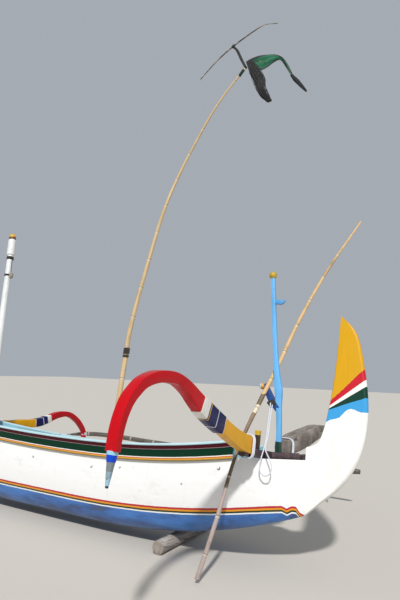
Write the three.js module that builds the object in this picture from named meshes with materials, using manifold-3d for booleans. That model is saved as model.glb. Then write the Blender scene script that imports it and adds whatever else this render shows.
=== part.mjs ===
import * as THREE from 'three';
import { mergeVertices } from 'three/addons/utils/BufferGeometryUtils.js';
import Module from 'manifold-3d';

// Double outrigger canoe, beached on two log rollers, in millimetres.
// Boat frame: +X to the bow, +Y to port, +Z up from the keel amidships.

const wasm = await Module();
wasm.setup();

// Driving dimensions
const GAP = 0.3;
const HEEL = THREE.MathUtils.degToRad(10);
const BOAT_LIFT = 60;
const STERN_END = -1720;
const BOW_END = 2300;
const HALF_BEAM = 272;
const WALL = 28;
const FLOOR = 45;
const STRAKE_HEIGHT = 102.5;
const CAP_HEIGHT = 18;
const STRAKE_SPAN = { aft: -1305, fore: 1620 };
const CAVITY_SPAN = { aft: -1500, fore: 2080 };
const FLOOR_SPAN = { aft: -1050, fore: 1180 };
const WALL_SPLITS = [-800, 720];
const BOTTOM_SPLIT = 150;
const PLANK_SPANS = {
  thwart_1: { aft: -930, fore: -770 },
  thwart_2: { aft: -186, fore: -26 },
  thwart_3: { aft: 560, fore: 720 },
  mast_thwart: { aft: 1330, fore: 1540 },
  foredeck: { aft: 1830, fore: 2290 },
};
const BEAM_X = { rear: -1450, front: 1750 };
const BEAM_SIZE = { long: 56, high: 52 };
const BEAM_ACROSS = { rear: 880, front: 840 };
const FOOT_REACH = { rear: 1660, front: 1700 };
const FLOAT_RADIUS = 27;
const MAST_FOOT_X = 1357;
const FLAG_POLE_X = -106;

// Materials
const paint = (color, roughness = 0.5) => new THREE.MeshStandardMaterial({ color, roughness, metalness: 0 });
const WHITE = paint(0xf4f3ee, 0.45);
const PALE_BLUE = paint(0xa9d8e8, 0.5);
const SKY_BLUE = paint(0x5f9fe0, 0.5);
const GREEN = paint(0x0e4a33, 0.5);
const RED = paint(0xc01826, 0.42);
const YELLOW = paint(0xe5a81c, 0.45);
const BAMBOO = paint(0xc9a878, 0.6);
const GREY_WOOD = paint(0x8b8078, 0.85);
const BROWN_WOOD = paint(0x49353a, 0.8);
const FLOAT_WOOD = paint(0x5c5552, 0.85);
const ROPE_WHITE = paint(0xe4e6ee, 0.9);
const BLACK_FIBRE = paint(0x15161a, 0.95);
const CLOTH_GREEN = paint(0x0f6a4a, 0.85);

// Lines of the hull, each a height or half-width at a place along X
const metres = (x, from) => (x - from) / 1000;
const hullTop = (x) => {
  const run = metres(x, 170);
  return 480 + (run < 0 ? 58 : 45) * Math.abs(run) ** 1.4;
};
const strakeTop = (x) => {
  const run = metres(x, 150);
  return 559 + (run < 0 ? 46.1 * (-run) ** 2.43 : 30 * run ** 2);
};
const keel = (x) => (x < 100 ? 60.2 * metres(100, x) ** 2.62 : 58.9 * Math.max(0, metres(x, 600)) ** 2.8);
const halfBeam = (x) => {
  const run = metres(x, 200);
  return run < 0
    ? HALF_BEAM * (1 - (-run / 1.96) ** 8) ** 0.9
    : HALF_BEAM * (1 - (run / 2.35) ** 4) ** 1.05;
};

// Half-width of the hull's outside, or of its hollow, at a height
function halfWidth(x, z, inset = 0, floor = 0) {
  const beam = halfBeam(x) - inset;
  const flat = 0.26 * beam;
  const bottom = keel(x) + floor;
  const share = THREE.MathUtils.clamp(1 - (z - bottom) / (hullTop(x) - bottom), 0, 1);
  return flat + (beam - flat) * Math.sin(Math.acos(share)) ** 0.9;
}

// Points [y, z] up the port side, level by level, outside or in the hollow
const LEVELS = 10;
function hullSide(x, inset = 0, floor = 0) {
  const bottom = keel(x) + floor;
  const side = [];
  for (let i = 0; i <= LEVELS; i++) {
    const z = bottom + (hullTop(x) - bottom) * (1 - Math.cos((i / LEVELS) * Math.PI / 2));
    side.push([halfWidth(x, z, inset, floor), z]);
  }
  return side;
}
const hollowSide = (x) => hullSide(x, WALL, FLOOR);
const mirrored = (points) => points.map(([y, z]) => [-y, z]).reverse();
const bothSides = (side) => [...side, ...mirrored(side)];

// Closed shapes
function closedRings(rings) {
  const points = [];
  const index = [];
  const count = rings[0].length;
  const centre = (ring) => ring.reduce((sum, p) => sum.add(p), new THREE.Vector3()).divideScalar(count);
  for (const ring of rings) for (const p of ring) points.push(p.x, p.y, p.z);
  for (const ring of [rings[0], rings.at(-1)]) points.push(...centre(ring).toArray());
  const startCentre = rings.length * count;
  for (let j = 0; j < count; j++) {
    const k = (j + 1) % count;
    for (let i = 0; i < rings.length - 1; i++) {
      const [a, b, c, d] = [i * count + j, i * count + k, (i + 1) * count + j, (i + 1) * count + k];
      // A twisted face folds along its shorter diagonal, and so does the neighbour's that meets it
      const [near, far] = [rings[i], rings[i + 1]];
      const shorter = near[j].distanceTo(far[k]) < near[k].distanceTo(far[j]);
      index.push(...(shorter ? [a, b, d, a, d, c] : [a, b, c, b, d, c]));
    }
    const last = (rings.length - 1) * count;
    index.push(startCentre, k, j, startCentre + 1, last + j, last + k);
  }
  const geometry = new THREE.BufferGeometry();
  geometry.setAttribute('position', new THREE.Float32BufferAttribute(points, 3));
  geometry.setIndex(index);
  return geometry;
}

function range(from, to, steps) {
  return Array.from({ length: steps + 1 }, (_, i) => from + ((to - from) * i) / steps);
}

// Every loft along X has its sections at these shared stations, so that neighbours meet
const SPANS = [CAVITY_SPAN, STRAKE_SPAN, FLOOR_SPAN, ...Object.values(PLANK_SPANS)];
const STATIONS = [...new Set([
  ...range(STERN_END, BOW_END, 34),
  ...SPANS.flatMap(({ aft, fore }) => [aft, fore]),
  ...WALL_SPLITS,
  BOTTOM_SPLIT,
])].sort((a, b) => a - b);

// Loft along X: ringAt gives a section's [y, z] points, anticlockwise seen from the bow
function loftX({ aft, fore }, ringAt) {
  const places = [aft, ...STATIONS.filter((x) => x > aft && x < fore), fore];
  return closedRings(places.map((x) => ringAt(x).map(([y, z]) => new THREE.Vector3(x, y, z))));
}

// Points round a section of half-size 1: a regular polygon, or a square with its corners cut off by `bevel`
const polygon = (sides, turn) => range(0, sides - 1, sides - 1).map((j) => {
  const angle = ((j + turn) / sides) * Math.PI * 2;
  return [Math.cos(angle), Math.sin(angle)];
});
const bevelledSquare = (bevel) => {
  const near = 1 - bevel;
  return [[1, near], [near, 1], [-near, 1], [-1, near], [-1, -near], [-near, -1], [near, -1], [1, -near]];
};

// Rod through rows of [x, y, z, half-width along `side`, half-depth if it differs]
function rod(rows, { sides = 8, perSpan = 4, side = [0, 1, 0], turn = 0.5, bevel } = {}) {
  const section = bevel ? bevelledSquare(bevel) : polygon(sides, turn);
  const curve = new THREE.CatmullRomCurve3(rows.map(([x, y, z]) => new THREE.Vector3(x, y, z)));
  const spans = rows.length - 1;
  const sideways = new THREE.Vector3(...side);
  const rings = range(0, 1, spans * (spans > 1 ? perSpan : 1)).map((t) => {
    const span = Math.min(Math.floor(t * spans), spans - 1);
    const share = t * spans - span;
    const size = (row) => [row[3], row[4] ?? row[3]];
    const next = size(rows[span + 1]);
    const [wide, deep] = size(rows[span]).map((from, i) => THREE.MathUtils.lerp(from, next[i], share));
    const along = curve.getTangent(t);
    const across = sideways.clone().addScaledVector(along, -sideways.dot(along)).normalize();
    const up = new THREE.Vector3().crossVectors(along, across);
    const centre = curve.getPoint(t);
    const offset = ([a, b]) => centre.clone().addScaledVector(across, wide * a).addScaledVector(up, deep * b);
    return section.map(offset);
  });
  return closedRings(rings);
}

// A rod's rows with GAP more all round, to cut its room out of a neighbour
function grown(rows) {
  const point = (row) => new THREE.Vector3(...row);
  return rows.map((row, i) => {
    const place = point(row);
    if (i === 0) place.add(point(row).sub(point(rows[1])).setLength(GAP));
    if (i === rows.length - 1) place.add(point(row).sub(point(rows.at(-2))).setLength(GAP));
    return [...place.toArray(), ...row.slice(3).map((size) => size + GAP)];
  });
}

const box = (sizes, centre) => new THREE.BoxGeometry(...sizes).translate(...centre);

// A flat shape in X and Z, extruded across Y from -1 to 1, then given a half-width at each point
function plate(shape, curveSegments, halfWidthAt) {
  const geometry = new THREE.ExtrudeGeometry(shape, { depth: 2, bevelEnabled: false, curveSegments });
  geometry.rotateX(Math.PI / 2).translate(0, 1, 0);
  const place = geometry.attributes.position;
  for (let i = 0; i < place.count; i++) {
    place.setY(i, place.getY(i) * halfWidthAt(place.getX(i), place.getZ(i)));
  }
  return geometry;
}

// Joins and cuts
function solid(geometry) {
  const bare = geometry.clone();
  bare.deleteAttribute('normal');
  bare.deleteAttribute('uv');
  const merged = mergeVertices(bare, 1e-3);
  return new wasm.Manifold(new wasm.Mesh({
    numProp: 3,
    vertProperties: new Float32Array(merged.attributes.position.array),
    triVerts: new Uint32Array(merged.index.array),
  }));
}

function geometryOf(manifold) {
  const mesh = manifold.getMesh();
  const geometry = new THREE.BufferGeometry();
  geometry.setAttribute('position', new THREE.Float32BufferAttribute(mesh.vertProperties, 3));
  geometry.setIndex([...mesh.triVerts]);
  return geometry;
}

const cut = (geometry, ...tools) =>
  geometryOf(tools.reduce((left, tool) => left.subtract(solid(tool)), solid(geometry)));
const join = (...geometries) => geometryOf(geometries.map(solid).reduce((all, next) => all.add(next)));

const canoe = new THREE.Group();
const boat = new THREE.Group();
boat.rotation.x = HEEL;
boat.position.z = BOAT_LIFT;
canoe.add(boat);

function add(name, geometry, material, group = boat) {
  const mesh = new THREE.Mesh(geometry, material);
  mesh.name = name;
  group.add(mesh);
  return mesh;
}

const SIDES = [['port', 1], ['starboard', -1]];
const ENDS = ['rear', 'front'];

// Hull: solid ends, and between them a bottom with a flat floor, in two lengths, and three strips of wall
// on each side, the lower two in three lengths. Each joint runs from a level outside to one in the hollow.
const WALL_JOINTS = [[3, 2], [5, 4], [7, 7], [LEVELS, LEVELS]];
const WALL_STRIPS = ['bilge', 'side', 'rim'];
const WALL_LENGTHS = {
  aft: { aft: CAVITY_SPAN.aft, fore: WALL_SPLITS[0] - GAP },
  middle: { aft: WALL_SPLITS[0], fore: WALL_SPLITS[1] - GAP },
  fore: { aft: WALL_SPLITS[1], fore: CAVITY_SPAN.fore },
};
const floorHeight = (x) => hollowSide(x)[WALL_JOINTS[0][1]][1];

function bottomRing(x) {
  const [outside, inside] = WALL_JOINTS[0];
  return bothSides([...hullSide(x).slice(0, outside + 1), hollowSide(x)[inside]]);
}

function wallRing(x, [outLow, inLow], [outHigh, inHigh]) {
  const above = ([y, z]) => [y, z + GAP];
  const [first, ...outer] = hullSide(x).slice(outLow, outHigh + 1);
  const inner = hollowSide(x);
  return [above(first), ...outer, inner[inHigh], above(inner[inLow])];
}

function makeHull() {
  const { aft, fore } = CAVITY_SPAN;
  add('hull_stern', loftX({ aft: STERN_END, fore: aft - GAP }, (x) => bothSides(hullSide(x))), WHITE);
  add('hull_bow', loftX({ aft: fore + GAP, fore: BOW_END }, (x) => bothSides(hullSide(x))), WHITE);
  add('hull_bottom_aft', loftX({ aft, fore: BOTTOM_SPLIT - GAP }, bottomRing), WHITE);
  add('hull_bottom_fore', loftX({ aft: BOTTOM_SPLIT, fore }, bottomRing), WHITE);
  WALL_STRIPS.forEach((strip, i) => {
    const ring = (x) => wallRing(x, WALL_JOINTS[i], WALL_JOINTS[i + 1]);
    const lengths = strip === 'rim' ? { '': CAVITY_SPAN } : WALL_LENGTHS;
    for (const [length, span] of Object.entries(lengths)) {
      const ending = length && `_${length}`;
      add(`hull_${strip}_port${ending}`, loftX(span, ring), WHITE);
      add(`hull_${strip}_starboard${ending}`, loftX(span, (x) => mirrored(ring(x))), WHITE);
    }
  });
}

// Stern fin: a tall plank in the shape of a fish's tail
function makeTailFin() {
  const joint = STERN_END - GAP;
  const shape = new THREE.Shape();
  shape.moveTo(joint, keel(STERN_END));
  shape.splineThru([[-1822, 378], [-1911, 457], [-1998, 568], [-2064, 730], [-2092, 954], [-2065, 1232],
    [-2002, 1480], [-1903, 1593]].map((p) => new THREE.Vector2(...p)));
  shape.splineThru([[-1891, 1413], [-1869, 1137], [-1848, 985], [-1815, 820], [-1780, 735],
    [joint, 700]].map((p) => new THREE.Vector2(...p)));
  for (const z of [620, 540, 460, 380]) shape.lineTo(joint, z);
  add('tail_fin', plate(shape, 3, (x, z) => {
    const base = halfWidth(STERN_END, Math.min(z, hullTop(STERN_END)));
    const back = THREE.MathUtils.clamp((joint - x) / 330, 0, 1);
    const up = THREE.MathUtils.clamp((z - 620) / 970, 0, 1);
    return Math.max(11, base * (1 - 0.45 * back) * (1 - 0.55 * up));
  }), WHITE);
}

// Bow: a carved fish head with its jaws open
function makeBowHead() {
  const joint = BOW_END + GAP;
  const shape = new THREE.Shape();
  shape.moveTo(joint, keel(BOW_END));
  shape.splineThru([[2420, 335], [2530, 425], [2612, 520], [2622, 556]].map((p) => new THREE.Vector2(...p)));
  shape.splineThru([[2550, 522], [2470, 502], [2400, 515]].map((p) => new THREE.Vector2(...p)));
  shape.splineThru([[2480, 560], [2590, 615], [2700, 705], [2780, 815], [2812, 925]]
    .map((p) => new THREE.Vector2(...p)));
  shape.splineThru([[2745, 862], [2660, 780], [2560, 728], [2440, 705], [joint, 700]]
    .map((p) => new THREE.Vector2(...p)));
  for (const z of [610, 540, 440, 340]) shape.lineTo(joint, z);
  add('bow_head', plate(shape, 3, (x, z) => {
    const base = halfWidth(BOW_END, Math.min(z, hullTop(BOW_END)));
    const fore = THREE.MathUtils.clamp((x - joint) / 512, 0, 1);
    return Math.max(12, base * (1 - 0.8 * fore));
  }), WHITE);
}

// Painted wash strakes outside the hull's edge, and the cap along each
function makeStrakes() {
  const inner = (x) => halfWidth(x, strakeTop(x) - STRAKE_HEIGHT) + GAP;
  const thick = 20;
  const flare = 12;
  const strakeRing = (x) => {
    const [low, high, y] = [strakeTop(x) - STRAKE_HEIGHT, strakeTop(x), inner(x)];
    return [[y, low], [y + thick, low], [y + thick + flare, high], [y + flare, high]];
  };
  const capRing = (x) => {
    const [low, high] = [strakeTop(x) + GAP, strakeTop(x) + CAP_HEIGHT];
    const [inside, outside] = [inner(x) + flare - 2, inner(x) + flare + thick + 10];
    const edge = outside - 3;
    return [[inside, low], [edge, low], [outside, (low + high) / 2], [edge, high], [inside, high]];
  };
  for (const [name, hand] of SIDES) {
    const turn = (ring) => (hand > 0 ? ring : mirrored(ring));
    add(`strake_${name}`, loftX(STRAKE_SPAN, (x) => turn(strakeRing(x))), GREEN);
    add(`gunwale_cap_${name}`, loftX(STRAKE_SPAN, (x) => turn(capRing(x))), PALE_BLUE);
  }
}

// Round rails, aft on the hull's edge and forward on the foredeck's
const PLANK_THICK = 24;
function makeRails() {
  const radius = 22;
  const ends = [
    { end: 'stern', places: [-1530, -1580, -1630, -1680], seat: 0 },
    { end: 'bow', places: [1840, 1980, 2130, 2250], seat: PLANK_THICK + GAP },
  ];
  for (const { end, places, seat } of ends) {
    for (const [name, hand] of SIDES) {
      const height = (x) => hullTop(x) + seat + radius * 0.93 + GAP;
      const rows = places.map((x) => [x, hand * (halfBeam(x) - 24), height(x), radius]);
      add(`${end}_rail_${name}`, rod(rows, { perSpan: 2 }), BROWN_WOOD);
    }
  }
}

// Planks that lie on the hull's edges; a thwart is one straight board, short of the strakes
function straightPlank({ aft, fore }) {
  const half = Math.min(halfBeam(aft), halfBeam(fore)) - 8;
  const rise = hullTop(fore) - hullTop(aft);
  const board = new THREE.BoxGeometry(Math.hypot(fore - aft, rise), 2 * half, PLANK_THICK);
  return board.translate(0, 0, PLANK_THICK / 2 + GAP).rotateY(-Math.atan2(rise, fore - aft))
    .translate((aft + fore) / 2, 0, (hullTop(aft) + hullTop(fore)) / 2);
}

function makePlanks() {
  const hole = (x, radius) => new THREE.CylinderGeometry(radius, radius, 200, 16).rotateX(Math.PI / 2)
    .translate(x, 0, hullTop(x));
  const holes = { thwart_2: hole(FLAG_POLE_X, 28), mast_thwart: hole(MAST_FOOT_X + 75, 48) };
  for (const [name, span] of Object.entries(PLANK_SPANS)) {
    const plank = name.startsWith('thwart') ? straightPlank(span) : loftX(span, (x) => {
      const half = halfBeam(x) - 1;
      const low = hullTop(x) + GAP;
      return [[-half, low], [half, low], [half, low + PLANK_THICK], [-half, low + PLANK_THICK]];
    });
    add(name, holes[name] ? cut(plank, holes[name]) : plank, PALE_BLUE);
  }
}

// Long board that covers the hull's floor
const BOARD_THICK = 18;
function floorBoardRing(x) {
  const [width, height] = hollowSide(x)[WALL_JOINTS[0][1]];
  const [half, low] = [width - 1, height + GAP];
  return [[-half, low], [half, low], [half, low + BOARD_THICK], [-half, low + BOARD_THICK]];
}
const boardTop = (x) => floorBoardRing(x)[2][1];

function makeFloorBoard() {
  add('floor_board', loftX(FLOOR_SPAN, floorBoardRing), GREY_WOOD);
}

// Crossbeams on the hull's edges, and the curved arms that fit over their ends
const ARM_LINES = {
  // [reach from the keel line, height, half-width along X, half-depth]
  rear_port: [[345, 665, 35, 53], [450, 677, 33.5, 50], [600, 705, 32, 45], [750, 744, 31, 43],
    [900, 783, 31, 44], [1030, 826, 31, 44], [1100, 854, 31, 38], [1160, 880, 31, 32], [1270, 909, 30, 27],
    [1350, 908, 30, 28], [1450, 890, 29, 27], [1543, 848, 28.5, 24], [1588, 806, 28, 23], [1621, 765, 28, 22],
    [1643, 714, 27.5, 20], [1655, 665, 27.5, 19], [1660, 617, 27.5, 18], [FOOT_REACH.rear, 556, 27.5, 17]],
  rear_starboard: [[262, 690, 52, 50], [480, 742, 58, 62], [715, 796, 58, 62], [985, 862, 52, 54],
    [1180, 898, 46, 43], [1372, 905, 38, 35], [1540, 846, 32, 31], [1625, 755, 28, 26], [1656, 660, 27.5, 21],
    [FOOT_REACH.rear, 556, 27.5, 19]],
  front: [[345, 612, 36, 30], [525, 622, 37, 34], [650, 639, 38, 40], [787, 652, 38, 42], [873, 667, 38, 41],
    [970, 702, 37, 39], [1070, 746, 36, 37], [1154, 784, 35, 35], [1300, 819, 32, 30], [1390, 813, 31, 29],
    [1469, 788, 31, 28], [1545, 752, 30, 26], [1608, 708, 29, 25], [1662, 662, 28, 23], [1692, 615, 27.5, 21],
    [FOOT_REACH.front, 556, 27.5, 19]],
};
const ARM_SHAPE = { side: [1, 0, 0], perSpan: 2, bevel: 0.14 };
// A wrapped sleeve and collar round each painted arm
const SLEEVES = {
  rear_port: [[768, 748, 34, 50], [860, 772, 34, 50], [966, 804, 34, 49], [1034, 828, 33, 47]],
  front: [[828, 659, 42, 44], [915, 680, 42, 44], [1008, 718, 41, 42], [1050, 736, 40, 41]],
};
// [height, radius] down each arm's foot to its point
const ARM_FOOT = [[575, 15], [557, 23.5], [543, 22.5], [516, 18.5], [508, 16.5], [470, 12.5], [420, 6]];

const beamEdges = (end) => [-BEAM_SIZE.long / 2, BEAM_SIZE.long / 2].map((dx) => BEAM_X[end] + dx);
const beamHeight = (end) => Math.max(...beamEdges(end).map(hullTop)) + 2 * GAP;

function makeBeams() {
  for (const end of ENDS) {
    const { long, high } = BEAM_SIZE;
    const beam = box([long, BEAM_ACROSS[end], high], [BEAM_X[end], 0, beamHeight(end) + high / 2]);
    add(`crossbeam_${end}`, beam, BROWN_WOOD);
  }
}

function makeArms() {
  for (const end of ENDS) {
    for (const [name, hand] of SIDES) {
      const x = BEAM_X[end];
      const placed = ([reach, ...rest]) => [x, hand * reach, ...rest];
      const pick = (table) => table[`${end}_${name}`] ?? table[end];
      const arm = rod(pick(ARM_LINES).map(placed), ARM_SHAPE);
      const foot = rod(ARM_FOOT.map(([height, radius]) => placed([FOOT_REACH[end], height, radius])),
        { side: [1, 0, 0], perSpan: 1 });
      const sleeve = pick(SLEEVES)?.map(placed);
      const whole = sleeve ? join(arm, foot, rod(sleeve, { ...ARM_SHAPE, perSpan: 1 })) : join(arm, foot);
      const slot = box([BEAM_SIZE.long + 2 * GAP, BEAM_ACROSS[end] + 2 * GAP, 200],
        [x, 0, beamHeight(end) + BEAM_SIZE.high + GAP - 100]);
      add(`arm_${end}_${name}`, cut(whole, slot), sleeve ? RED : GREY_WOOD);
    }
  }
}

// The float that is left, along the outside of the starboard arms' feet
function makeFloat() {
  // [x, height, radius]
  const line = [[-1700, 586, 20], [-1640, 587, FLOAT_RADIUS], [-900, 596, FLOAT_RADIUS],
    [0, 606, FLOAT_RADIUS], [734, 617, FLOAT_RADIUS], [1120, 629, FLOAT_RADIUS], [1475, 632, FLOAT_RADIUS],
    [1730, 620, FLOAT_RADIUS], [1880, 604, 23], [2080, 577, 8]];
  const rows = line.map(([x, z, radius]) => {
    const reach = THREE.MathUtils.mapLinear(x, BEAM_X.rear, BEAM_X.front, FOOT_REACH.rear, FOOT_REACH.front);
    return [x, -reach - FLOAT_RADIUS - 19.5, z, radius];
  });
  add('float_starboard', rod(rows, { sides: 10 }), FLOAT_WOOD);
}

// Mast through its thwart into a step on the hull's floor, with a knob and a rope block
function makeMast() {
  const step = { long: 170, across: 104, high: 60 };
  const stepLow = floorHeight(MAST_FOOT_X + step.long / 2) + 2 * GAP;
  const rows = [[MAST_FOOT_X, 0, stepLow + 20, 38], [1500, 0, 910, 36], [1640, 0, 1740, 33],
    [1748, 0, 2388, 31], [1748.3, 0, 2390, 42], [1785, 0, 2577, 40]];
  const shape = { sides: 14, perSpan: 1 };
  const block = box([step.long, step.across, step.high], [MAST_FOOT_X, 0, stepLow + step.high / 2]);
  add('mast_step', cut(block, rod(grown(rows), shape)), BROWN_WOOD);
  add('mast', rod(rows, shape), WHITE);
  const top = [[1785.1, 0, 2577.4, 33], [1788, 0, 2592, 37], [1792, 0, 2614, 38], [1797, 0, 2638, 30],
    [1800, 0, 2653, 12]];
  add('mast_head', rod(top, shape), YELLOW);
  const ropeBlock = [[1659, 0, 2176, 14], [1654, 0, 2146, 22], [1649, 0, 2116, 14]];
  add('mast_block', rod(ropeBlock, { perSpan: 1 }), GREY_WOOD);
}

// Blue post at the stern, its crook and its small fittings
const LEANING_POLE = [[-1240, 440, -112, 14], [-1296, 385, 200, 14], [-1346, 281, 625, 11],
  [-1392, 75, 985, 16.5], [-1430, -45, 1195, 16], [-1523, -272, 1678, 14], [-1660, -464, 2135, 12],
  [-1875, -650, 2639, 8]];
const LEANING_SHAPE = { sides: 8, side: [1, 0, 0] };
const POST_FOOT = hullTop(-1522) + 1.2;
const POST_SHAPE = { perSpan: 3, bevel: 0.2 };
function makeSternPost() {
  const post = [[-1522, 0, POST_FOOT, 17, 18], [-1511, 0, 795, 16, 16], [-1498, 0, 942, 15, 18],
    [-1487, 0, 1060, 15, 27], [-1462, 0, 1205, 15, 18], [-1423, 0, 1500, 15, 15], [-1378, 0, 1905, 14, 14]];
  const crook = [[-1500, 0, 925, 15, 20], [-1450, 0, 985, 15, 25], [-1413, 0, 1045, 14, 22],
    [-1386, 0, 1104, 12, 16]];
  const both = join(rod(post, POST_SHAPE), rod(crook, POST_SHAPE));
  const ball = (radius) => new THREE.SphereGeometry(radius, 14, 9).translate(-1364, 0, 1087);
  const ballRadius = 22;
  add('stern_post', cut(both, rod(grown(LEANING_POLE), LEANING_SHAPE), ball(ballRadius + GAP)), SKY_BLUE);
  add('crook_ball', ball(ballRadius), YELLOW);
  const knob = new THREE.LatheGeometry([[0, 0], [18, 0], [26, 10], [29, 26], [24, 44], [10, 54], [0, 56]]
    .map((p) => new THREE.Vector2(...p)), 16).rotateX(Math.PI / 2).rotateY(0.11).translate(-1378, 0, 1905.4);
  add('post_knob', knob, YELLOW);
  const hook = rod([[-1396, 0, 1722, 12, 20], [-1430, 0, 1716, 12, 18], [-1462, 0, 1711, 11, 15],
    [-1484, 0, 1728, 8, 8]], POST_SHAPE);
  add('post_hook', cut(hook, rod(grown(post), POST_SHAPE)), SKY_BLUE);
  const pegFoot = beamHeight('rear') + BEAM_SIZE.high + GAP;
  const peg = rod([[BEAM_X.rear, 215, pegFoot, 16], [BEAM_X.rear, 215, 735, 16], [BEAM_X.rear, 215, 768, 18]],
    { side: [1, 0, 0], perSpan: 1 });
  add('lashing_peg', peg, BROWN_WOOD);
}

// Bamboo pole with its foot on the ground, leaning in the crook
function makeLeaningPole() {
  add('leaning_pole', rod(LEANING_POLE, LEANING_SHAPE), BAMBOO);
}

// Tall bamboo pole that bows aft, and what flies at its top
function makeFlag() {
  const pole = [[FLAG_POLE_X, 0, boardTop(FLAG_POLE_X) + 1, 23], [-100, 0, 620, 23], [-92, 0, 1180, 22],
    [-90, 0, 1500, 20], [-157, 0, 2069, 18], [-278, 0, 2754, 15], [-503, 0, 3350, 12], [-698, 0, 3733, 10],
    [-925, 0, 4035, 8]];
  const stick = [[-439, 0, 4063, 4], [-600, 0, 4229, 5], [-765, 0, 4351, 7], [-1000, 0, 4466, 5],
    [-1083, 0, 4489, 4], [-1216, 0, 4452, 3]];
  const spreader = [[-931, 0, 4040, 9], [-872, 0, 4160, 11], [-813, 0, 4288, 9], [-766, 0, 4349, 8]];
  const tassels = [
    [[-962, 0, 4104, 20, 44], [-1028, 0, 3968, 26, 66], [-1090, 0, 3838, 30, 68], [-1112, 0, 3750, 28, 50],
      [-1155, 0, 3656, 24, 46], [-1206, 0, 3582, 10, 26]],
    [[-1391, 0, 3806, 10, 12], [-1432, 0, 3742, 16, 22], [-1486, 0, 3661, 14, 20], [-1535, 0, 3590, 6, 9]],
  ];
  const outline = [[-990, 4146], [-1060, 3990], [-1093, 3947], [-1141, 3958], [-1205, 3998], [-1267, 4004],
    [-1318, 3936], [-1381, 3802], [-1404, 3808], [-1341, 3950], [-1277, 4045], [-1201, 4109], [-1106, 4129]];
  const cloth = new THREE.Shape(outline.reverse().map((p) => new THREE.Vector2(...p)));
  const stickShape = { sides: 6 };
  const shortShape = { perSpan: 1 };
  const tasselShape = { perSpan: 2 };
  add('flag_pole', rod(pole), BAMBOO);
  add('flag_bow_stick', rod(stick, stickShape), BROWN_WOOD);
  const room = [rod(grown(pole)), rod(grown(stick), stickShape)];
  add('flag_spreader', cut(rod(spreader, shortShape), ...room), BLACK_FIBRE);
  const tasselRoom = tassels.map((rows) => rod(grown(rows), tasselShape));
  const clothRoom = [...room, rod(grown(spreader), shortShape), ...tasselRoom];
  add('flag_cloth', cut(plate(cloth, 1, () => 14), ...clothRoom), CLOTH_GREEN);
  tassels.forEach((rows, i) => add(`flag_tassel_${i + 1}`, rod(rows, tasselShape), BLACK_FIBRE));
}

// Rope that hangs doubled from the crook, with its loop outside the rail
const ROPE_ROUTE = [[-1442, 19.4, 972], [-1446, 34, 925], [-1470, 106, 832], [-1493, 176, 728],
  [-1499, 222, 650], [-1495, 240, 600], [-1491, 242, 555], [-1498, 243, 516], [-1526, 243, 498],
  [-1558, 243, 511], [-1570, 242, 548], [-1558, 240, 588], [-1532, 234, 624], [-1510, 222, 660],
  [-1504, 178, 738], [-1482, 108, 842], [-1460, 36, 930], [-1456, 19.4, 958]];
function makeRope() {
  const path = new THREE.CatmullRomCurve3(ROPE_ROUTE.map((p) => new THREE.Vector3(...p)));
  const section = new THREE.Shape(range(0, 7, 7).map((i) => {
    const angle = (i / 8) * Math.PI * 2;
    return new THREE.Vector2(4 * Math.cos(angle), 4 * Math.sin(angle));
  }));
  const rope = new THREE.ExtrudeGeometry(section, { steps: 70, extrudePath: path, bevelEnabled: false });
  add('hanging_rope', rope, ROPE_WHITE);
}

// Log rollers on the ground, each as thick as the room under the heeled hull
function makeRollers() {
  const heeled = ([y, z]) => y * Math.sin(HEEL) + z * Math.cos(HEEL);
  const lowest = (x) => BOAT_LIFT + Math.min(...bothSides(hullSide(x)).map(heeled));
  const underside = (x) => {
    const next = STATIONS.findIndex((station) => station > x);
    const [aft, fore] = [STATIONS[next - 1], STATIONS[next]];
    return THREE.MathUtils.mapLinear(x, aft, fore, lowest(aft), lowest(fore));
  };
  const fits = (x, radius) => range(-radius, radius, 20).every((dx) =>
    underside(x + dx) - radius - Math.sqrt(Math.max(0, radius ** 2 - dx ** 2)) > GAP);
  const places = [['rear', -800, 215, -430], ['front', 1400, 330, -430]];
  for (const [name, x, port, starboard] of places) {
    let radius = underside(x);
    while (!fits(x, radius)) radius -= 0.05;
    const row = (y) => [x, y, radius, radius];
    const log = rod([row(port), row(0), row(starboard)], { sides: 16, side: [1, 0, 0], perSpan: 1, turn: 0 });
    add(`log_roller_${name}`, log, GREY_WOOD, canoe);
  }
}

makeHull();
makeTailFin();
makeBowHead();
makeStrakes();
makeRails();
makePlanks();
makeFloorBoard();
makeBeams();
makeArms();
makeFloat();
makeMast();
makeSternPost();
makeLeaningPole();
makeFlag();
makeRope();
makeRollers();

// The part's origin is the middle of its box's underside
canoe.updateMatrixWorld(true);
const bounds = new THREE.Box3().setFromObject(canoe, true);
const middle = bounds.getCenter(new THREE.Vector3());
canoe.position.set(-middle.x, -middle.y, -bounds.min.z);
canoe.updateMatrixWorld(true);

export default canoe;
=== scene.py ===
import math
import random

import bmesh
import bpy
from mathutils import Matrix, Vector, noise


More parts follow.
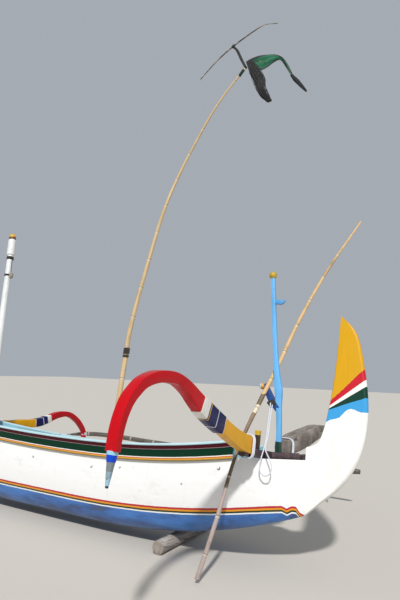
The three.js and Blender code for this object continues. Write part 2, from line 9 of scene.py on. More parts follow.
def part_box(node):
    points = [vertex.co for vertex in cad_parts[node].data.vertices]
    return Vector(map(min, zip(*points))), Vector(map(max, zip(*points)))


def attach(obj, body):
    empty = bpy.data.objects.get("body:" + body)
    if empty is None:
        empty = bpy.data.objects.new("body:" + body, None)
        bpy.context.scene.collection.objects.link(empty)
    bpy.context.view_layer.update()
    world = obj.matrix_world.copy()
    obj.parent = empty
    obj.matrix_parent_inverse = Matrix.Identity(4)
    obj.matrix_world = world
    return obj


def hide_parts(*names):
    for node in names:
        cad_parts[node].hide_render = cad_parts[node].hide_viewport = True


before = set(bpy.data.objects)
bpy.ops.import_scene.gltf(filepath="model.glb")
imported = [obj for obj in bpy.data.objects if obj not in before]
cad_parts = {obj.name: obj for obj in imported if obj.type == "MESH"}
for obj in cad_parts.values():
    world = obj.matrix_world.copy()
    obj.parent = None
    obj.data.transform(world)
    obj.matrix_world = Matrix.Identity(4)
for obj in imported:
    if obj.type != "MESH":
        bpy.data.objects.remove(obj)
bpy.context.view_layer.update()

chance = random.Random(11)

# Lines of the hull
HEEL = math.radians(10)
LIFT = 0.060
STERN_END, BOW_END = -1.720, 2.300
WALL, FLOOR = 0.028, 0.045
STRAKE_HEIGHT, CAP_HEIGHT = 0.1025, 0.018
STRAKE_SPAN = (-1.305, 1.620)
CAVITY_SPAN = (-1.500, 2.080)
FLOOR_SPAN = (-1.050, 1.180)
REAR_BEAM, FRONT_BEAM = -1.450, 1.750
BEAM_LONG, BEAM_HIGH = 0.056, 0.052
REAR_BEAM_ACROSS, FRONT_BEAM_ACROSS = 0.880, 0.840
PLANK_THICK = 0.024
GAP = 0.0003


def hull_top(x):
    return 0.480 + (0.058 if x < 0.17 else 0.045) * abs(x - 0.17) ** 1.4


def strake_top(x):
    run = x - 0.15
    return 0.559 + (0.0461 * (-run) ** 2.43 if run < 0 else 0.030 * run ** 2)


def keel(x):
    return 0.0602 * (0.1 - x) ** 2.62 if x < 0.1 else 0.0589 * max(0, x - 0.6) ** 2.8


def half_beam(x):
    run = x - 0.2
    if run < 0:
        return 0.272 * (1 - (-run / 1.96) ** 8) ** 0.9
    return 0.272 * (1 - (run / 2.35) ** 4) ** 1.05


def half_width(x, z, inset=0.0, floor=0.0):
    beam = half_beam(x) - inset
    flat = 0.26 * beam
    bottom = keel(x) + floor
    share = min(1, max(0, 1 - (z - bottom) / (hull_top(x) - bottom)))
    return flat + (beam - flat) * math.sin(math.acos(share)) ** 0.9


def floor_height(x):
    low = keel(x) + FLOOR
    return low + (hull_top(x) - low) * (1 - math.cos(0.1 * math.pi))


def beam_low(x):
    return max(hull_top(x - BEAM_LONG / 2), hull_top(x + BEAM_LONG / 2)) + 2 * GAP


heel = Matrix.Rotation(HEEL, 4, "X")
lift = Matrix.Translation((0, 0, LIFT))
beam_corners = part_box("crossbeam_front")
beam_centre = Vector((FRONT_BEAM, 0, beam_low(FRONT_BEAM) + BEAM_HIGH / 2))
shift = (beam_corners[0] + beam_corners[1]) / 2 - (lift @ heel) @ beam_centre
BOAT = Matrix.Translation(shift) @ lift @ heel


# Camera, at the photograph's place
def place_camera():
    forward = Vector((0.4947, -0.8187, 0.2915)).normalized()
    right = forward.cross(Vector((-0.0412, 0.3129, 0.9489))).normalized()
    up = right.cross(forward)
    spot = Vector((-2.716, 3.243, 0.606))
    data = bpy.data.cameras.new("camera")
    data.lens = 29.16
    data.sensor_width = 36
    camera = bpy.data.objects.new("camera", data)
    turn = Matrix((right, up, -forward)).transposed().to_4x4()
    camera.matrix_world = BOAT @ Matrix.Translation(spot) @ turn
    bpy.context.scene.collection.objects.link(camera)
    bpy.context.scene.camera = camera


place_camera()


# Finishes
def colour(code):
    parts = [int(code[i : i + 2], 16) / 255 for i in (0, 2, 4)]
    return (*[p / 12.92 if p <= 0.04045 else ((p + 0.055) / 1.055) ** 2.4 for p in parts], 1)


class Finish:
    """A material whose nodes are wired as they are made."""

    def __init__(self, name, **sockets):
        self.material = bpy.data.materials.new(name)
        self.material.use_nodes = True
        self.tree = self.material.node_tree
        self.shader = self.tree.nodes["Principled BSDF"]
        for socket, value in sockets.items():
            self.shader.inputs[socket.replace("_", " ")].default_value = value

    def node(self, kind, inputs=(), output=0, **settings):
        node = self.tree.nodes.new("ShaderNode" + kind)
        for key, value in settings.items():
            setattr(node, key, value)
        for key, value in dict(inputs).items():
            if isinstance(value, bpy.types.NodeSocket):
                self.tree.links.new(value, node.inputs[key])
            else:
                node.inputs[key].default_value = value
        return node.outputs[output]

    def place(self, stretch=(1, 1, 1)):
        """Boat coordinates, stretched for a pattern that runs one way"""
        spot = self.node("TexCoord", output=3)
        back = BOAT.inverted()
        spot = self.node("Mapping", {0: spot, 1: back.to_translation(), 2: back.to_euler()})
        return self.node("VectorMath", {0: spot, 1: stretch}, operation="MULTIPLY")

    def flow(self, stretch=(1, 1, 1)):
        """The piece's own map: along it, and across or round it"""
        spot = self.node("UVMap", uv_map="flow")
        return self.node("VectorMath", {0: spot, 1: stretch}, operation="MULTIPLY")

    def part(self, vector, axis):
        return self.node("SeparateXYZ", {0: vector}, output=axis)

    def noise(self, vector, scale, detail=3, roughness=0.55, distortion=0.0):
        inputs = {"Vector": vector, "Scale": scale, "Detail": detail, "Roughness": roughness,
                  "Distortion": distortion}
        return self.node("TexNoise", inputs)

    def sum(self, a, b, operation="ADD", clamp=False):
        return self.node("Math", {0: a, 1: b}, operation=operation, use_clamp=clamp)

    def spread(self, value, low, high, to_low=0.0, to_high=1.0):
        return self.node("MapRange", {0: value, 1: low, 2: high, 3: to_low, 4: to_high}, clamp=True)

    def ramp(self, value, stops, hard=False):
        output = self.node("ValToRGB", {0: value})
        bar = output.node.color_ramp
        bar.interpolation = "CONSTANT" if hard else "LINEAR"
        while len(bar.elements) < len(stops):
            bar.elements.new(1)
        for element, (at, tint) in zip(bar.elements, stops):
            element.position = at
            element.color = tint
        return output

    def bands(self, value, stops, soft=0.0012):
        """Painted bands: each stop is (where the band starts, its colour), its edge wavering by soft"""
        low, high = stops[0][0], stops[-1][0] + 0.001
        shaky = self.noise(self.place(), 22, 2)
        value = self.sum(value, self.spread(shaky, 0.3, 0.7, -soft, soft))
        value = self.spread(value, low, high)
        return self.ramp(value, [((at - low) / (high - low), colour(tint)) for at, tint in stops], True)

    def mix(self, share, a, b, blend="MIX"):
        inputs = {0: share, 6: a, 7: b}
        return self.node("Mix", inputs, 2, data_type="RGBA", blend_type=blend)

    def bump(self, height, strength, distance, normal=None):
        inputs = {"Height": height, "Strength": strength, "Distance": distance}
        if normal:
            inputs["Normal"] = normal
        return self.node("Bump", inputs)

    def done(self, base, roughness=None, normal=None):
        for socket, value in (("Base Color", base), ("Roughness", roughness), ("Normal", normal)):
            if isinstance(value, bpy.types.NodeSocket):
                self.tree.links.new(value, self.shader.inputs[socket])
            elif value is not None:
                self.shader.inputs[socket].default_value = value
        return self.material


GRIME = colour("6a5f55")


def painted(f, base, dirty=0.3, chips=0.0, under="8a7a68", rough=(0.35, 0.6), grain=(3, 60, 60), relief=0.5):
    """Brushed paint on wood: grime in patches, chips through to the wood, and the grain's ridges"""
    patches = f.noise(f.place(), 4.5, 6, 0.65)
    base = f.mix(f.spread(patches, 0.5, 0.78, 0, dirty), base, GRIME, "MULTIPLY")
    fine = f.noise(f.place(grain), 1.0, 5, 0.6)
    base = f.mix(f.spread(fine, 0.35, 0.75, 0, dirty * 0.5), base, GRIME, "MULTIPLY")
    height = f.spread(fine, 0.3, 0.7)
    if chips:
        flakes = f.noise(f.place((18, 26, 26)), 1.0, 7, 0.7)
        bare = f.spread(flakes, 0.70 - chips, 0.715 - chips)
        base = f.mix(bare, base, colour(under))
        height = f.sum(height, f.sum(bare, -1.2, "MULTIPLY"))
    rough_now = f.spread(patches, 0.35, 0.7, *rough)
    return f.done(base, rough_now, f.bump(height, relief, 0.0012))


def plain_paint(name, tint, **wear):
    f = Finish(name, Coat_Weight=0.15, Coat_Roughness=0.25)
    tone = f.noise(f.place(), 2.2, 3)
    shade = tuple(c * 0.86 for c in colour(tint)[:3]) + (1,)
    return painted(f, f.mix(f.spread(tone, 0.3, 0.7), shade, colour(tint)), **wear)


def bare_wood(name, tints, grain=(4, 70, 70)):
    """Unpainted timber: long grain, cracks and grey or dark patches"""
    f = Finish(name)
    lines = f.noise(f.place(grain), 1.0, 8, 0.65, 0.4)
    base = f.ramp(f.spread(lines, 0.28, 0.72), list(zip((0, 0.45, 1), map(colour, tints))))
    patches = f.noise(f.place(), 7, 5, 0.6)
    base = f.mix(f.spread(patches, 0.4, 0.75, 0, 0.45), base, colour(tints[0]))
    cracks = f.noise(f.place([g * 1.6 for g in grain]), 1.0, 3, 0.5, 0.8)
    split = f.spread(cracks, 0.30, 0.36, 1, 0)
    base = f.mix(f.sum(split, 0.7, "MULTIPLY"), base, (0.02, 0.016, 0.014, 1))
    height = f.sum(lines, f.sum(split, -0.8, "MULTIPLY"))
    return f.done(base, f.spread(lines, 0.3, 0.7, 0.75, 0.95), f.bump(height, 0.9, 0.003))


def hull_paint():
    """White topsides over a blue bottom, with the painted lines between them"""
    f = Finish("hull_paint", Coat_Weight=0.2, Coat_Roughness=0.3)
    line = f.part(f.flow(), 1)
    stops = ((-0.05, "2c5aa8"), (0.0, "eef0f0"), (0.009, "0a3014"), (0.020, "e0940c"), (0.031, "b8142c"),
             (0.043, "f1f1f0"))
    base = f.bands(line, stops, 0.0008)
    below = f.spread(line, -0.001, 0.0, 1, 0)
    rub = f.noise(f.place((2.2, 9, 9)), 1.0, 6, 0.65)
    deep = f.ramp(f.spread(rub, 0.3, 0.72), [(0, colour("4a8ad4")), (0.5, colour("3a70b8")),
                                              (0.8, colour("2f548c")), (1, colour("5a4c50"))])
    base = f.mix(below, base, deep)
    # the blue turns darker and greyer towards the keel, in patches
    foot = f.sum(f.spread(line, -0.12, -0.035, 1, 0), f.spread(rub, 0.35, 0.65, 0.2, 1), "MULTIPLY")
    base = f.mix(f.sum(foot, 0.75, "MULTIPLY"), base, colour("3a3740"))
    # faint stains on the white, and dust that has run down from the strake
    above = f.spread(line, 0.043, 0.046)
    stain = f.noise(f.place((3, 3, 6)), 1.0, 6, 0.7)
    stained = f.sum(f.spread(stain, 0.56, 0.74, 0, 0.32), above, "MULTIPLY")
    base = f.mix(stained, base, colour("b9b6ae"))
    runs = f.noise(f.place((26, 26, 1.6)), 1.0, 3, 0.6)
    base = f.mix(f.sum(f.spread(runs, 0.62, 0.8, 0, 0.2), above, "MULTIPLY"), base, colour("c2bfb5"))
    specks = f.noise(f.place(), 55, 3, 0.6)
    base = f.mix(f.spread(specks, 0.70, 0.74, 0, 0.5), base, colour("77716a"))
    adze = f.noise(f.place((5, 14, 14)), 1.0, 4, 0.5)
    fine = f.noise(f.place((6, 90, 90)), 1.0, 3, 0.6)
    normal = f.bump(fine, 0.25, 0.001, f.bump(adze, 0.5, 0.006))
    return f.done(base, f.spread(stain, 0.3, 0.7, 0.32, 0.55), normal)


def strake_paint():
    """The lines painted along the wash strake, measured down from the cap's top, with painted shade along its
    lower edge and underside
    """
    f = Finish("strake_paint", Coat_Weight=0.04, Coat_Roughness=0.2, Specular_IOR_Level=0.15)
    # the last two bands, olive, are painted shade on the strake's lower edge and underside, not paint
    stops = ((0.0, "430a16"), (0.0405, "b79aa0"), (0.0425, "00301e"), (0.0925, "efeee6"), (0.098, "c46a48"),
             (0.1045, "e2a02a"), (0.1115, "8a7a4c"), (0.118, "7d7250"))
    return painted(f, f.bands(f.part(f.flow(), 1), stops, 0.0006), dirty=0.2, chips=0.02, under="4b3d36",
                   rough=(0.28, 0.5), relief=0.4)


def arm_paint(name, stops, foot=False):
    """Bands round an arm, at each reach from the keel line, or at each height on its foot"""
    f = Finish(name, Coat_Weight=0.05, Coat_Roughness=0.18, Specular_IOR_Level=0.18)
    base = f.bands(f.part(f.flow(), 0), stops)
    return painted(f, base, dirty=0.22, chips=0.012, under="5b4840", rough=(0.28, 0.48),
                   grain=(45, 5, 5) if not foot else (50, 50, 6), relief=0.45)


def bamboo(name, tints, joint, mottle, tones_and_shadows=()):
    """Cane with a dark ring at each joint; the map counts joints along it, and bands by height give it tones
    and painted shadows
    """
    f = Finish(name, Coat_Weight=0.1, Coat_Roughness=0.4)
    phase = f.sum(f.part(f.flow(), 0), 1.0, "FRACT")
    streaks = f.noise(f.flow((0.8, 160, 1)), 1.0, 5, 0.6)
    base = f.ramp(f.spread(streaks, 0.3, 0.7), list(zip((0, 0.5, 1), map(colour, tints))))
    if tones_and_shadows:
        base = f.mix(0.75, base, f.bands(f.part(f.place(), 2), tones_and_shadows, 0.012))
    blotch = f.noise(f.place((6, 6, 4)), 1.0, 6, 0.7)
    base = f.mix(f.spread(blotch, 0.5, 0.66, 0, mottle), base, colour(joint))
    near = f.spread(phase, 0.0, 0.035, 1, 0)
    far = f.spread(phase, 0.975, 1.0, 0, 1)
    ring = f.sum(near, far, "ADD", True)
    base = f.mix(f.sum(ring, 0.8, "MULTIPLY"), base, colour(joint))
    pale = f.spread(phase, 0.93, 0.975, 0, 0.5)
    base = f.mix(pale, base, colour("e6dcc4"))
    return f.done(base, f.spread(blotch, 0.3, 0.7, 0.42, 0.7), f.bump(streaks, 0.5, 0.0012))


def cordage(name, tints):
    """Laid rope: dirty fibres that follow its twist"""
    twist = 0.013
    f = Finish(name, Sheen_Weight=0.3, Sheen_Roughness=0.5)
    fibres = f.noise(f.flow((1 / twist, 900, 1)), 1.0, 4, 0.6)
    dirt = f.noise(f.place(), 9, 4)
    base = f.ramp(f.spread(fibres, 0.3, 0.7), [(0, colour(tints[0])), (1, colour(tints[1]))])
    base = f.mix(f.spread(dirt, 0.45, 0.8, 0, 0.5), base, colour(tints[0]))
    return f.done(base, 0.9, f.bump(fibres, 0.7, 0.001))


PALE_BLUE = plain_paint("pale_blue_paint", "aed8e2", dirty=0.35, chips=0.05, under="8c8276", relief=0.7)
CAP_BLUE = plain_paint("cap_paint", "c4e4ec", dirty=0.22, chips=0.05, under="9a948c")
INNER_BLUE = plain_paint("inner_hull_paint", "8fc3d2", dirty=0.5, chips=0.06, under="6d665e", relief=0.8)
SKY_BLUE = plain_paint("sky_blue_paint", "5aa9ea", dirty=0.35, chips=0.05, under="3c5a86", grain=(60, 60, 4))
MAST_WHITE = plain_paint("mast_paint", "eceeee", dirty=0.3, chips=0.05, under="8b8d92", grain=(60, 60, 4))
COLLAR_WHITE = plain_paint("collar_paint", "f1f0ea", dirty=0.3, chips=0.06, under="8b8078")
HULL = hull_paint()
STRAKE = strake_paint()
BROWN = bare_wood("dark_brown_wood", ("2a2026", "4a3a40", "6d5c5e"))
EDGE = bare_wood("bare_edge_wood", ("3c2c22", "735a44", "9c8468"))
GREY = bare_wood("grey_wood", ("5c5450", "8f8680", "b9b1a8"), grain=(8, 8, 60))
LOG = bare_wood("log_wood", ("6e655f", "a39b94", "c9c2ba"), grain=(60, 4, 60))
ARM_GREY = bare_wood("arm_grey_wood", ("4f4844", "857b74", "aca298"), grain=(60, 5, 12))
FLOAT = bamboo("float_bamboo", ("3f3a38", "625a54", "837a70"), "2a2522", 0.6)
CANE = bamboo("pole_bamboo", ("a58654", "cdb083", "e3cda4"), "5f4a30", 0.3)
# The leaning pole's tones by height. The near-black band from 0.39 to 0.60 and the dark band from 0.945 to
# 1.02 are painted shadows, where the pole lies in the shade below the arm's base and under the crook
POLE_TONES_AND_SHADOWS = ((-0.2, "a0959a"), (0.39, "211d1c"), (0.60, "6a544c"), (0.88, "e6dcc2"), (0.945, "3c3630"),
              (1.02, "d6b27c"), (2.8, "d6b27c"))
MOTTLED = bamboo("mottled_bamboo", ("8a6c48", "c4a474", "e2c99c"), "3a2c22", 0.5, POLE_TONES_AND_SHADOWS)
ROPE = cordage("white_rope", ("b9bcc8", "eef0f6"))
TWINE = cordage("dark_lashing", ("16130f", "4b4238"))
GREEN_TWINE = cordage("green_wrap", ("04150f", "0f4a34"))


# Shapes
def patch(bm, along, round_, spot, flow, material=0, cap=None):
    """A grid of faces placed by spot(i, j) and mapped by flow(i, j), welded where it meets and closed"""
    layer = bm.loops.layers.uv.get("flow") or bm.loops.layers.uv.new("flow")
    made = bmesh.ops.create_grid(bm, x_segments=along, y_segments=round_, size=0.5)["verts"]
    index = {v: (round((v.co.x + 0.5) * along), round((v.co.y + 0.5) * round_)) for v in made}
    for face in {f for v in made for f in v.link_faces}:
        corners = [index[v] for v in face.verts]
        i, j = min(c[0] for c in corners), min(c[1] for c in corners)
        face.material_index = material(i, j) if callable(material) else material
        for loop in face.loops:
            loop[layer].uv = flow(*index[loop.vert])
    for v, (i, j) in index.items():
        v.co = spot(i, j)
    bmesh.ops.remove_doubles(bm, verts=made, dist=1e-6)
    open_edges = {e for v in made if v.is_valid for e in v.link_edges if e.is_boundary}
    if open_edges:
        lids = bmesh.ops.holes_fill(bm, edges=list(open_edges), sides=10000)["faces"]
        for lid in lids:
            lid.material_index = material(0, 0) if cap is None and callable(material) else cap or 0
            middle = lid.calc_center_median()
            for loop in lid.loops:
                loop[layer].uv = ((loop.vert.co - middle).length, 0)


def smooth_path(points, step):
    """Places along the centripetal Catmull-Rom curve through points, each with its share of the way"""
    ends = [points[0] * 2 - points[1], *points, points[-1] * 2 - points[-2]]
    path = []
    for i in range(len(points) - 1):
        a, b, c, d = ends[i : i + 4]
        before, here, after = [max((q - p).length, 1e-9) ** 0.5 for p, q in ((a, b), (b, c), (c, d))]
        leave = ((b - a) / before - (c - a) / (before + here) + (c - b) / here) * here
        arrive = ((c - b) / here - (d - b) / (here + after) + (d - c) / after) * here
        steps = max(1, math.ceil((c - b).length / step))
        for k in range(steps + (i == len(points) - 2)):
            t = k / steps
            path.append((b + leave * t + ((c - b) * 3 - leave * 2 - arrive) * t ** 2
                         + ((b - c) * 2 + leave + arrive) * t ** 3, i + t))
    return path


def circle(sides):
    return [(math.cos(2 * math.pi * k / sides), math.sin(2 * math.pi * k / sides)) for k in range(sides)]


def squared(bevel=0.25):
    """A square section with its corners rounded off in two facets"""
    n, m = 1 - bevel, 1 - bevel * 0.3
    corner = [(1, n), (m, m), (n, 1)]
    turned = [[(a, b), (-b, a), (-a, -b), (b, -a)] for a, b in corner]
    points = []
    for quarter in range(4):
        points += [t[quarter] for t in turned]
    return points


def tube(bm, rows, section=circle(16), step=0.03, side=(0, 1, 0), swell=None, mark=None, material=0, cap=None):
    """A closed rod through rows of x, y, z, half-width along side and half-depth"""
    side = Vector(side)
    path = smooth_path([Vector(r[:3]) for r in rows], step)
    rings, marks, run = [], [], 0.0
    for k, (centre, place) in enumerate(path):
        i = min(int(place), len(rows) - 2)
        t = place - i
        wide, deep = [p + (q - p) * t for p, q in zip(*[(r[3], r[4] if len(r) > 4 else r[3])
                                                        for r in rows[i : i + 2]])]
        back, ahead = path[max(k - 1, 0)][0], path[min(k + 1, len(path) - 1)][0]
        along = (ahead - back).normalized()
        across = (side - along * side.dot(along)).normalized()
        up = along.cross(across)
        run += (centre - back).length if k else 0
        points = []
        for n, (a, b) in enumerate(section):
            grow = swell(run, n / len(section)) if swell else 1
            points.append(centre + across * (wide * a * grow) + up * (deep * b * grow))
        rings.append(points)
        marks.append(mark(centre, run) if mark else run)
    count = len(section)
    girth = 2 * math.pi * rows[0][3]
    patch(bm, len(rings) - 1, count, lambda i, j: rings[i][j % count],
          lambda i, j: (marks[i], girth * j / count), material, cap)


def loft(bm, places, ring_at, flow_at=None, material=0):
    """A closed solid along X: ring_at(x) gives a section's y, z points"""
    rings = [[Vector((x, y, z)) for y, z in ring_at(x)] for x in places]
    count = len(rings[0])

    def flow(i, j):
        if flow_at:
            return flow_at(places[i], rings[i][j % count], j)
        return places[i], j * 0.02

    patch(bm, len(places) - 1, count, lambda i, j: rings[i][j % count], flow, material)


def spaced(start, end, step):
    count = max(1, round(abs(end - start) / step))
    return [start + (end - start) * k / count for k in range(count + 1)]


def softened(corners, cut_off):
    """A polygon's corners each cut off by that much"""
    points = []
    for k, corner in enumerate(corners):
        corner = Vector(corner)
        for other in (Vector(corners[k - 1]), Vector(corners[(k + 1) % len(corners)])):
            points.append(corner + (other - corner).normalized() * cut_off)
    return [tuple(p) for p in points]


def eased(bm, edges, offset):
    """Edges rounded over in two facets"""
    bmesh.ops.bevel(bm, geom=edges, offset=offset, segments=2, profile=0.5, affect="EDGES", material=-1)


def amidships(*rows):
    """Rows in the boat's middle plane, each given as x, z and its half-sizes"""
    return [(x, 0, z, *sizes) for x, z, *sizes in rows]


def winding(bm, centre, axis, across, half, turns, pitch, radius, squareness=1.0):
    """Turns of line laid side by side round something"""
    axis, across = Vector(axis).normalized(), Vector(across).normalized()
    up = axis.cross(across)
    rows, steps = [], 16
    for k in range(int(turns * steps) + 1):
        angle = 2 * math.pi * k / steps
        a, b = math.cos(angle), math.sin(angle)
        a, b = [math.copysign(abs(v) ** squareness, v) for v in (a, b)]
        spot = Vector(centre) + across * (a * half[0]) + up * (b * half[1])
        spot += axis * (pitch * (k / steps - turns / 2) + chance.uniform(-0.1, 0.1) * pitch)
        rows.append((*spot, radius))
    tube(bm, rows, circle(6), 0.02, side=axis)


def piece(name, bm, materials, replaces=(), space=BOAT, angle=38):
    """The finished piece, set in the model's frame, its faces outward, riding on the boat"""
    bmesh.ops.transform(bm, matrix=space, verts=bm.verts)
    bmesh.ops.recalc_face_normals(bm, faces=bm.faces)
    mesh = bpy.data.meshes.new(name)
    bm.to_mesh(mesh)
    bm.free()
    for material in materials if isinstance(materials, (list, tuple)) else [materials]:
        mesh.materials.append(material)
    mesh.shade_smooth()
    mesh.set_sharp_from_angle(angle=math.radians(angle))
    made = bpy.data.objects.new(name, mesh)
    bpy.context.scene.collection.objects.link(made)
    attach(made, "root")
    if replaces:
        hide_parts(*([replaces] if isinstance(replaces, str) else replaces))
    return made


def rod_piece(name, rows, materials, slot, replaces=(), **shape):
    bm = bmesh.new()
    tube(bm, rows, **shape)
    return piece(name, bm, materials, replaces)


# Hanging rope: doubled from the crook, with its loop outside the rail
ROPE_ROUTE = [(-1.442, 0.0194, 0.972), (-1.446, 0.034, 0.925), (-1.470, 0.106, 0.832), (-1.493, 0.176, 0.728),
              (-1.499, 0.222, 0.650), (-1.495, 0.240, 0.600), (-1.491, 0.242, 0.555), (-1.498, 0.243, 0.516),
              (-1.526, 0.243, 0.498), (-1.558, 0.243, 0.511), (-1.570, 0.242, 0.548), (-1.558, 0.240, 0.588),
              (-1.532, 0.234, 0.624), (-1.510, 0.222, 0.660), (-1.504, 0.178, 0.738), (-1.482, 0.108, 0.842),
              (-1.460, 0.036, 0.930), (-1.456, 0.0194, 0.958)]
ROPE_RADIUS = 0.004


def make_rope():
    lay = 0.026

    def strands(run, turn):
        return 1 + 0.14 * math.cos(3 * (2 * math.pi * turn - 2 * math.pi * run / lay))

    bm = bmesh.new()
    tube(bm, [(*p, ROPE_RADIUS) for p in ROPE_ROUTE], circle(12), 0.003, side=(0.3, 1, 0.2), swell=strands)
    rope = piece("hanging_rope_laid", bm, ROPE, "hanging_rope", angle=80)
    path = [BOAT @ p for p, _ in smooth_path([Vector(p) for p in ROPE_ROUTE], 0.006)]
    length = sum((b - a).length for a, b in zip(path, path[1:]))
    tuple(path[0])


make_rope()


# Hull
def stripe_line(x):
    """Height of the painted line's lower edge"""
    level_aft, level_fore, taper = -0.4, 0.97, 1.3
    away = max(level_aft - x, x - level_fore, 0)
    rise = 0.122 * max(0, 1 - (away / taper) ** 2) ** 0.5
    notch = 0.016 * max(0, 1 - abs(x + 1.63) / 0.028)
    past = 0.9 * max(0, -1.68 - x) + 3 * max(0, x - 2.26)
    return keel(x) + rise - notch - past


def hull_side(x, levels, inset=0.0, floor=0.0):
    low = keel(x) + floor
    heights = [low + (hull_top(x) - low) * (1 - math.cos(k / levels * math.pi / 2)) for k in range(levels + 1)]
    return [(half_width(x, z, inset, floor), z) for z in heights]


def make_hull():
    outer, inner = 26, 18
    aft, fore = CAVITY_SPAN

    def ring(x):
        out = hull_side(x, outer)
        points = out[::-1] + [(-y, z) for y, z in out]
        if aft <= x <= fore:
            floor = floor_height(x)
            flat = half_width(x, floor, WALL, FLOOR)
            hollow = [(y if z > floor else flat * (0.26 + 0.185 * k), max(z, floor))
                      for k, (y, z) in enumerate(hull_side(x, inner, WALL, FLOOR))]
            return points + [(-y, z) for y, z in hollow[::-1]] + hollow
        span = half_beam(x) * 0.96
        count = 2 * inner + 2
        return points + [(-span + 2 * span * k / (count - 1), hull_top(x)) for k in range(count)]

    edge = 2 * (outer + 1)
    places = sorted({*spaced(STERN_END, -1.68, 0.02), *spaced(-1.66, -1.60, 0.004),
                     *spaced(-1.58, BOW_END, 0.02), aft - 0.0004, aft, fore, fore + 0.0004})
    closing = edge + 2 * (inner + 1) - 1

    def zone(i, j):
        if j in (edge - 1, closing):
            return 1
        if j < edge:
            return 0
        return 2 if aft - 0.001 <= places[i] <= fore else 1

    bm = bmesh.new()
    loft(bm, places, ring, lambda x, p, j: (x, p.z - stripe_line(x)), zone)
    nodes = ["hull_stern", "hull_bow", "hull_bottom_aft", "hull_bottom_fore"]
    for side in ("port", "starboard"):
        nodes.append(f"hull_rim_{side}")
        nodes += [f"hull_{strip}_{side}_{length}" for strip in ("bilge", "side")
                  for length in ("aft", "middle", "fore")]
    piece("dugout_hull", bm, [HULL, EDGE, INNER_BLUE], nodes)


make_hull()


# Stern fin: a tall plank like a fish's tail, banded in a fan
FIN_OUTER = [(-1.822, 0.378), (-1.911, 0.457), (-1.998, 0.568), (-2.064, 0.730), (-2.092, 0.954),
             (-2.065, 1.232), (-2.002, 1.480), (-1.903, 1.593)]
FIN_INNER = [(-1.720, 0.700), (-1.780, 0.735), (-1.815, 0.820), (-1.848, 0.985), (-1.869, 1.137),
             (-1.891, 1.413), (-1.903, 1.593)]
# Each straight line's inner and outer height, upwards from the wavy one, whose heights follow
FIN_LINES = [(0.952, 1.040), (0.954, 1.116), (0.968, 1.160), (0.990, 1.238)]
FIN_WAVE = [0.874, 0.888, 0.894, 0.897, 0.904, 0.925, 0.948, 0.962, 0.968, 0.966, 0.958, 0.951, 0.949, 0.952]


def blended(points, count):
    """Even places along the curve through points"""
    path = [p for p, _ in smooth_path([Vector((*p, 0)) for p in points], 0.004)]
    runs = [0.0]
    for a, b in zip(path, path[1:]):
        runs.append(runs[-1] + (b - a).length)
    places, k = [], 0
    for n in range(count + 1):
        want = runs[-1] * n / count
        while k < len(runs) - 2 and runs[k + 1] < want:
            k += 1
        t = (want - runs[k]) / max(runs[k + 1] - runs[k], 1e-9)
        places.append(path[k].lerp(path[k + 1], t))
    return places


def fin_band(share, z):
    """0 in the white, then one more for each painted line that z lies above"""
    share = min(1, max(0, share))
    at = share * (len(FIN_WAVE) - 1)
    k = min(int(at), len(FIN_WAVE) - 2)
    lines = [FIN_WAVE[k] + (FIN_WAVE[k + 1] - FIN_WAVE[k]) * (at - k)]
    lines += [a + (b - a) * share for a, b in FIN_LINES]
    if z < lines[0]:
        return 1 + (z - lines[0]) / 0.2
    for n, (low, high) in enumerate(zip(lines, lines[1:])):
        if z < high:
            return n + 1 + (z - low) / (high - low)
    return len(lines) + (z - lines[-1]) / 0.4


def fan_paint(name, tints):
    """Bands on white, one for each whole number that the piece's own map counts"""
    f = Finish(name, Coat_Weight=0.08, Coat_Roughness=0.25, Specular_IOR_Level=0.3)
    level = f.part(f.flow(), 1)
    stops = [(0, "f4f4f0"), *((n + 1, tint) for n, tint in enumerate(tints)), (len(tints) + 2, tints[-1])]
    return painted(f, f.bands(level, stops, 0.012), dirty=0.16, chips=0.01, under="8b8078", grain=(60, 60, 5),
                   rough=(0.3, 0.5), relief=0.35)


def carved(bm, first, second, levels, half_at, band_at):
    """A plank between two edge lines, alike to port and starboard, banded by band_at(place)"""
    count = 2 * levels + 2

    def across(j):
        j %= count
        return (j, 1) if j <= levels else (count - 1 - j, -1)

    def spot(i, j):
        level, hand = across(j)
        t = level / levels
        place = first[i].lerp(second[i], t)
        return Vector((place.x, hand * half_at(i, place, t), place.y))

    def flow(i, j):
        t = across(j)[0] / levels
        return t, band_at(first[i].lerp(second[i], t))

    patch(bm, len(first) - 1, count, spot, flow)


def make_fin():
    steps, foot_steps = 150, 60
    foot = (STERN_END, keel(STERN_END))
    outer = blended([foot, *FIN_OUTER], steps)
    rise = blended([foot, (STERN_END, 0.5), (STERN_END, 0.7)], foot_steps)
    inner = rise[:-1] + blended(FIN_INNER, steps - foot_steps)

    def half(i, place, t):
        x, z = place.x, place.y
        base = half_width(STERN_END, min(max(z, foot[1]), hull_top(STERN_END)))
        back = min(1, max(0, (STERN_END - x) / 0.33))
        up = min(1, max(0, (z - 0.62) / 0.97))
        thick = max(0.011, base * (1 - 0.45 * back) * (1 - 0.55 * up))
        edge = min(1, (1 - t) / 0.07) if t > 0.5 else (min(1, t / 0.05) if z > 0.705 else 1)
        return thick * (0.25 + 0.75 * math.sin(edge * math.pi / 2))

    bm = bmesh.new()
    carved(bm, inner, outer, 26, half, lambda place: fin_band((place.x + 1.845) / -0.235, place.y))
    paint = fan_paint("fin_paint", ("3fa0dc", "04392a", "f2f2ec", "c81b2c", "d8a20e"))
    piece("tail_fin_carved", bm, paint, "tail_fin", angle=50)


make_fin()


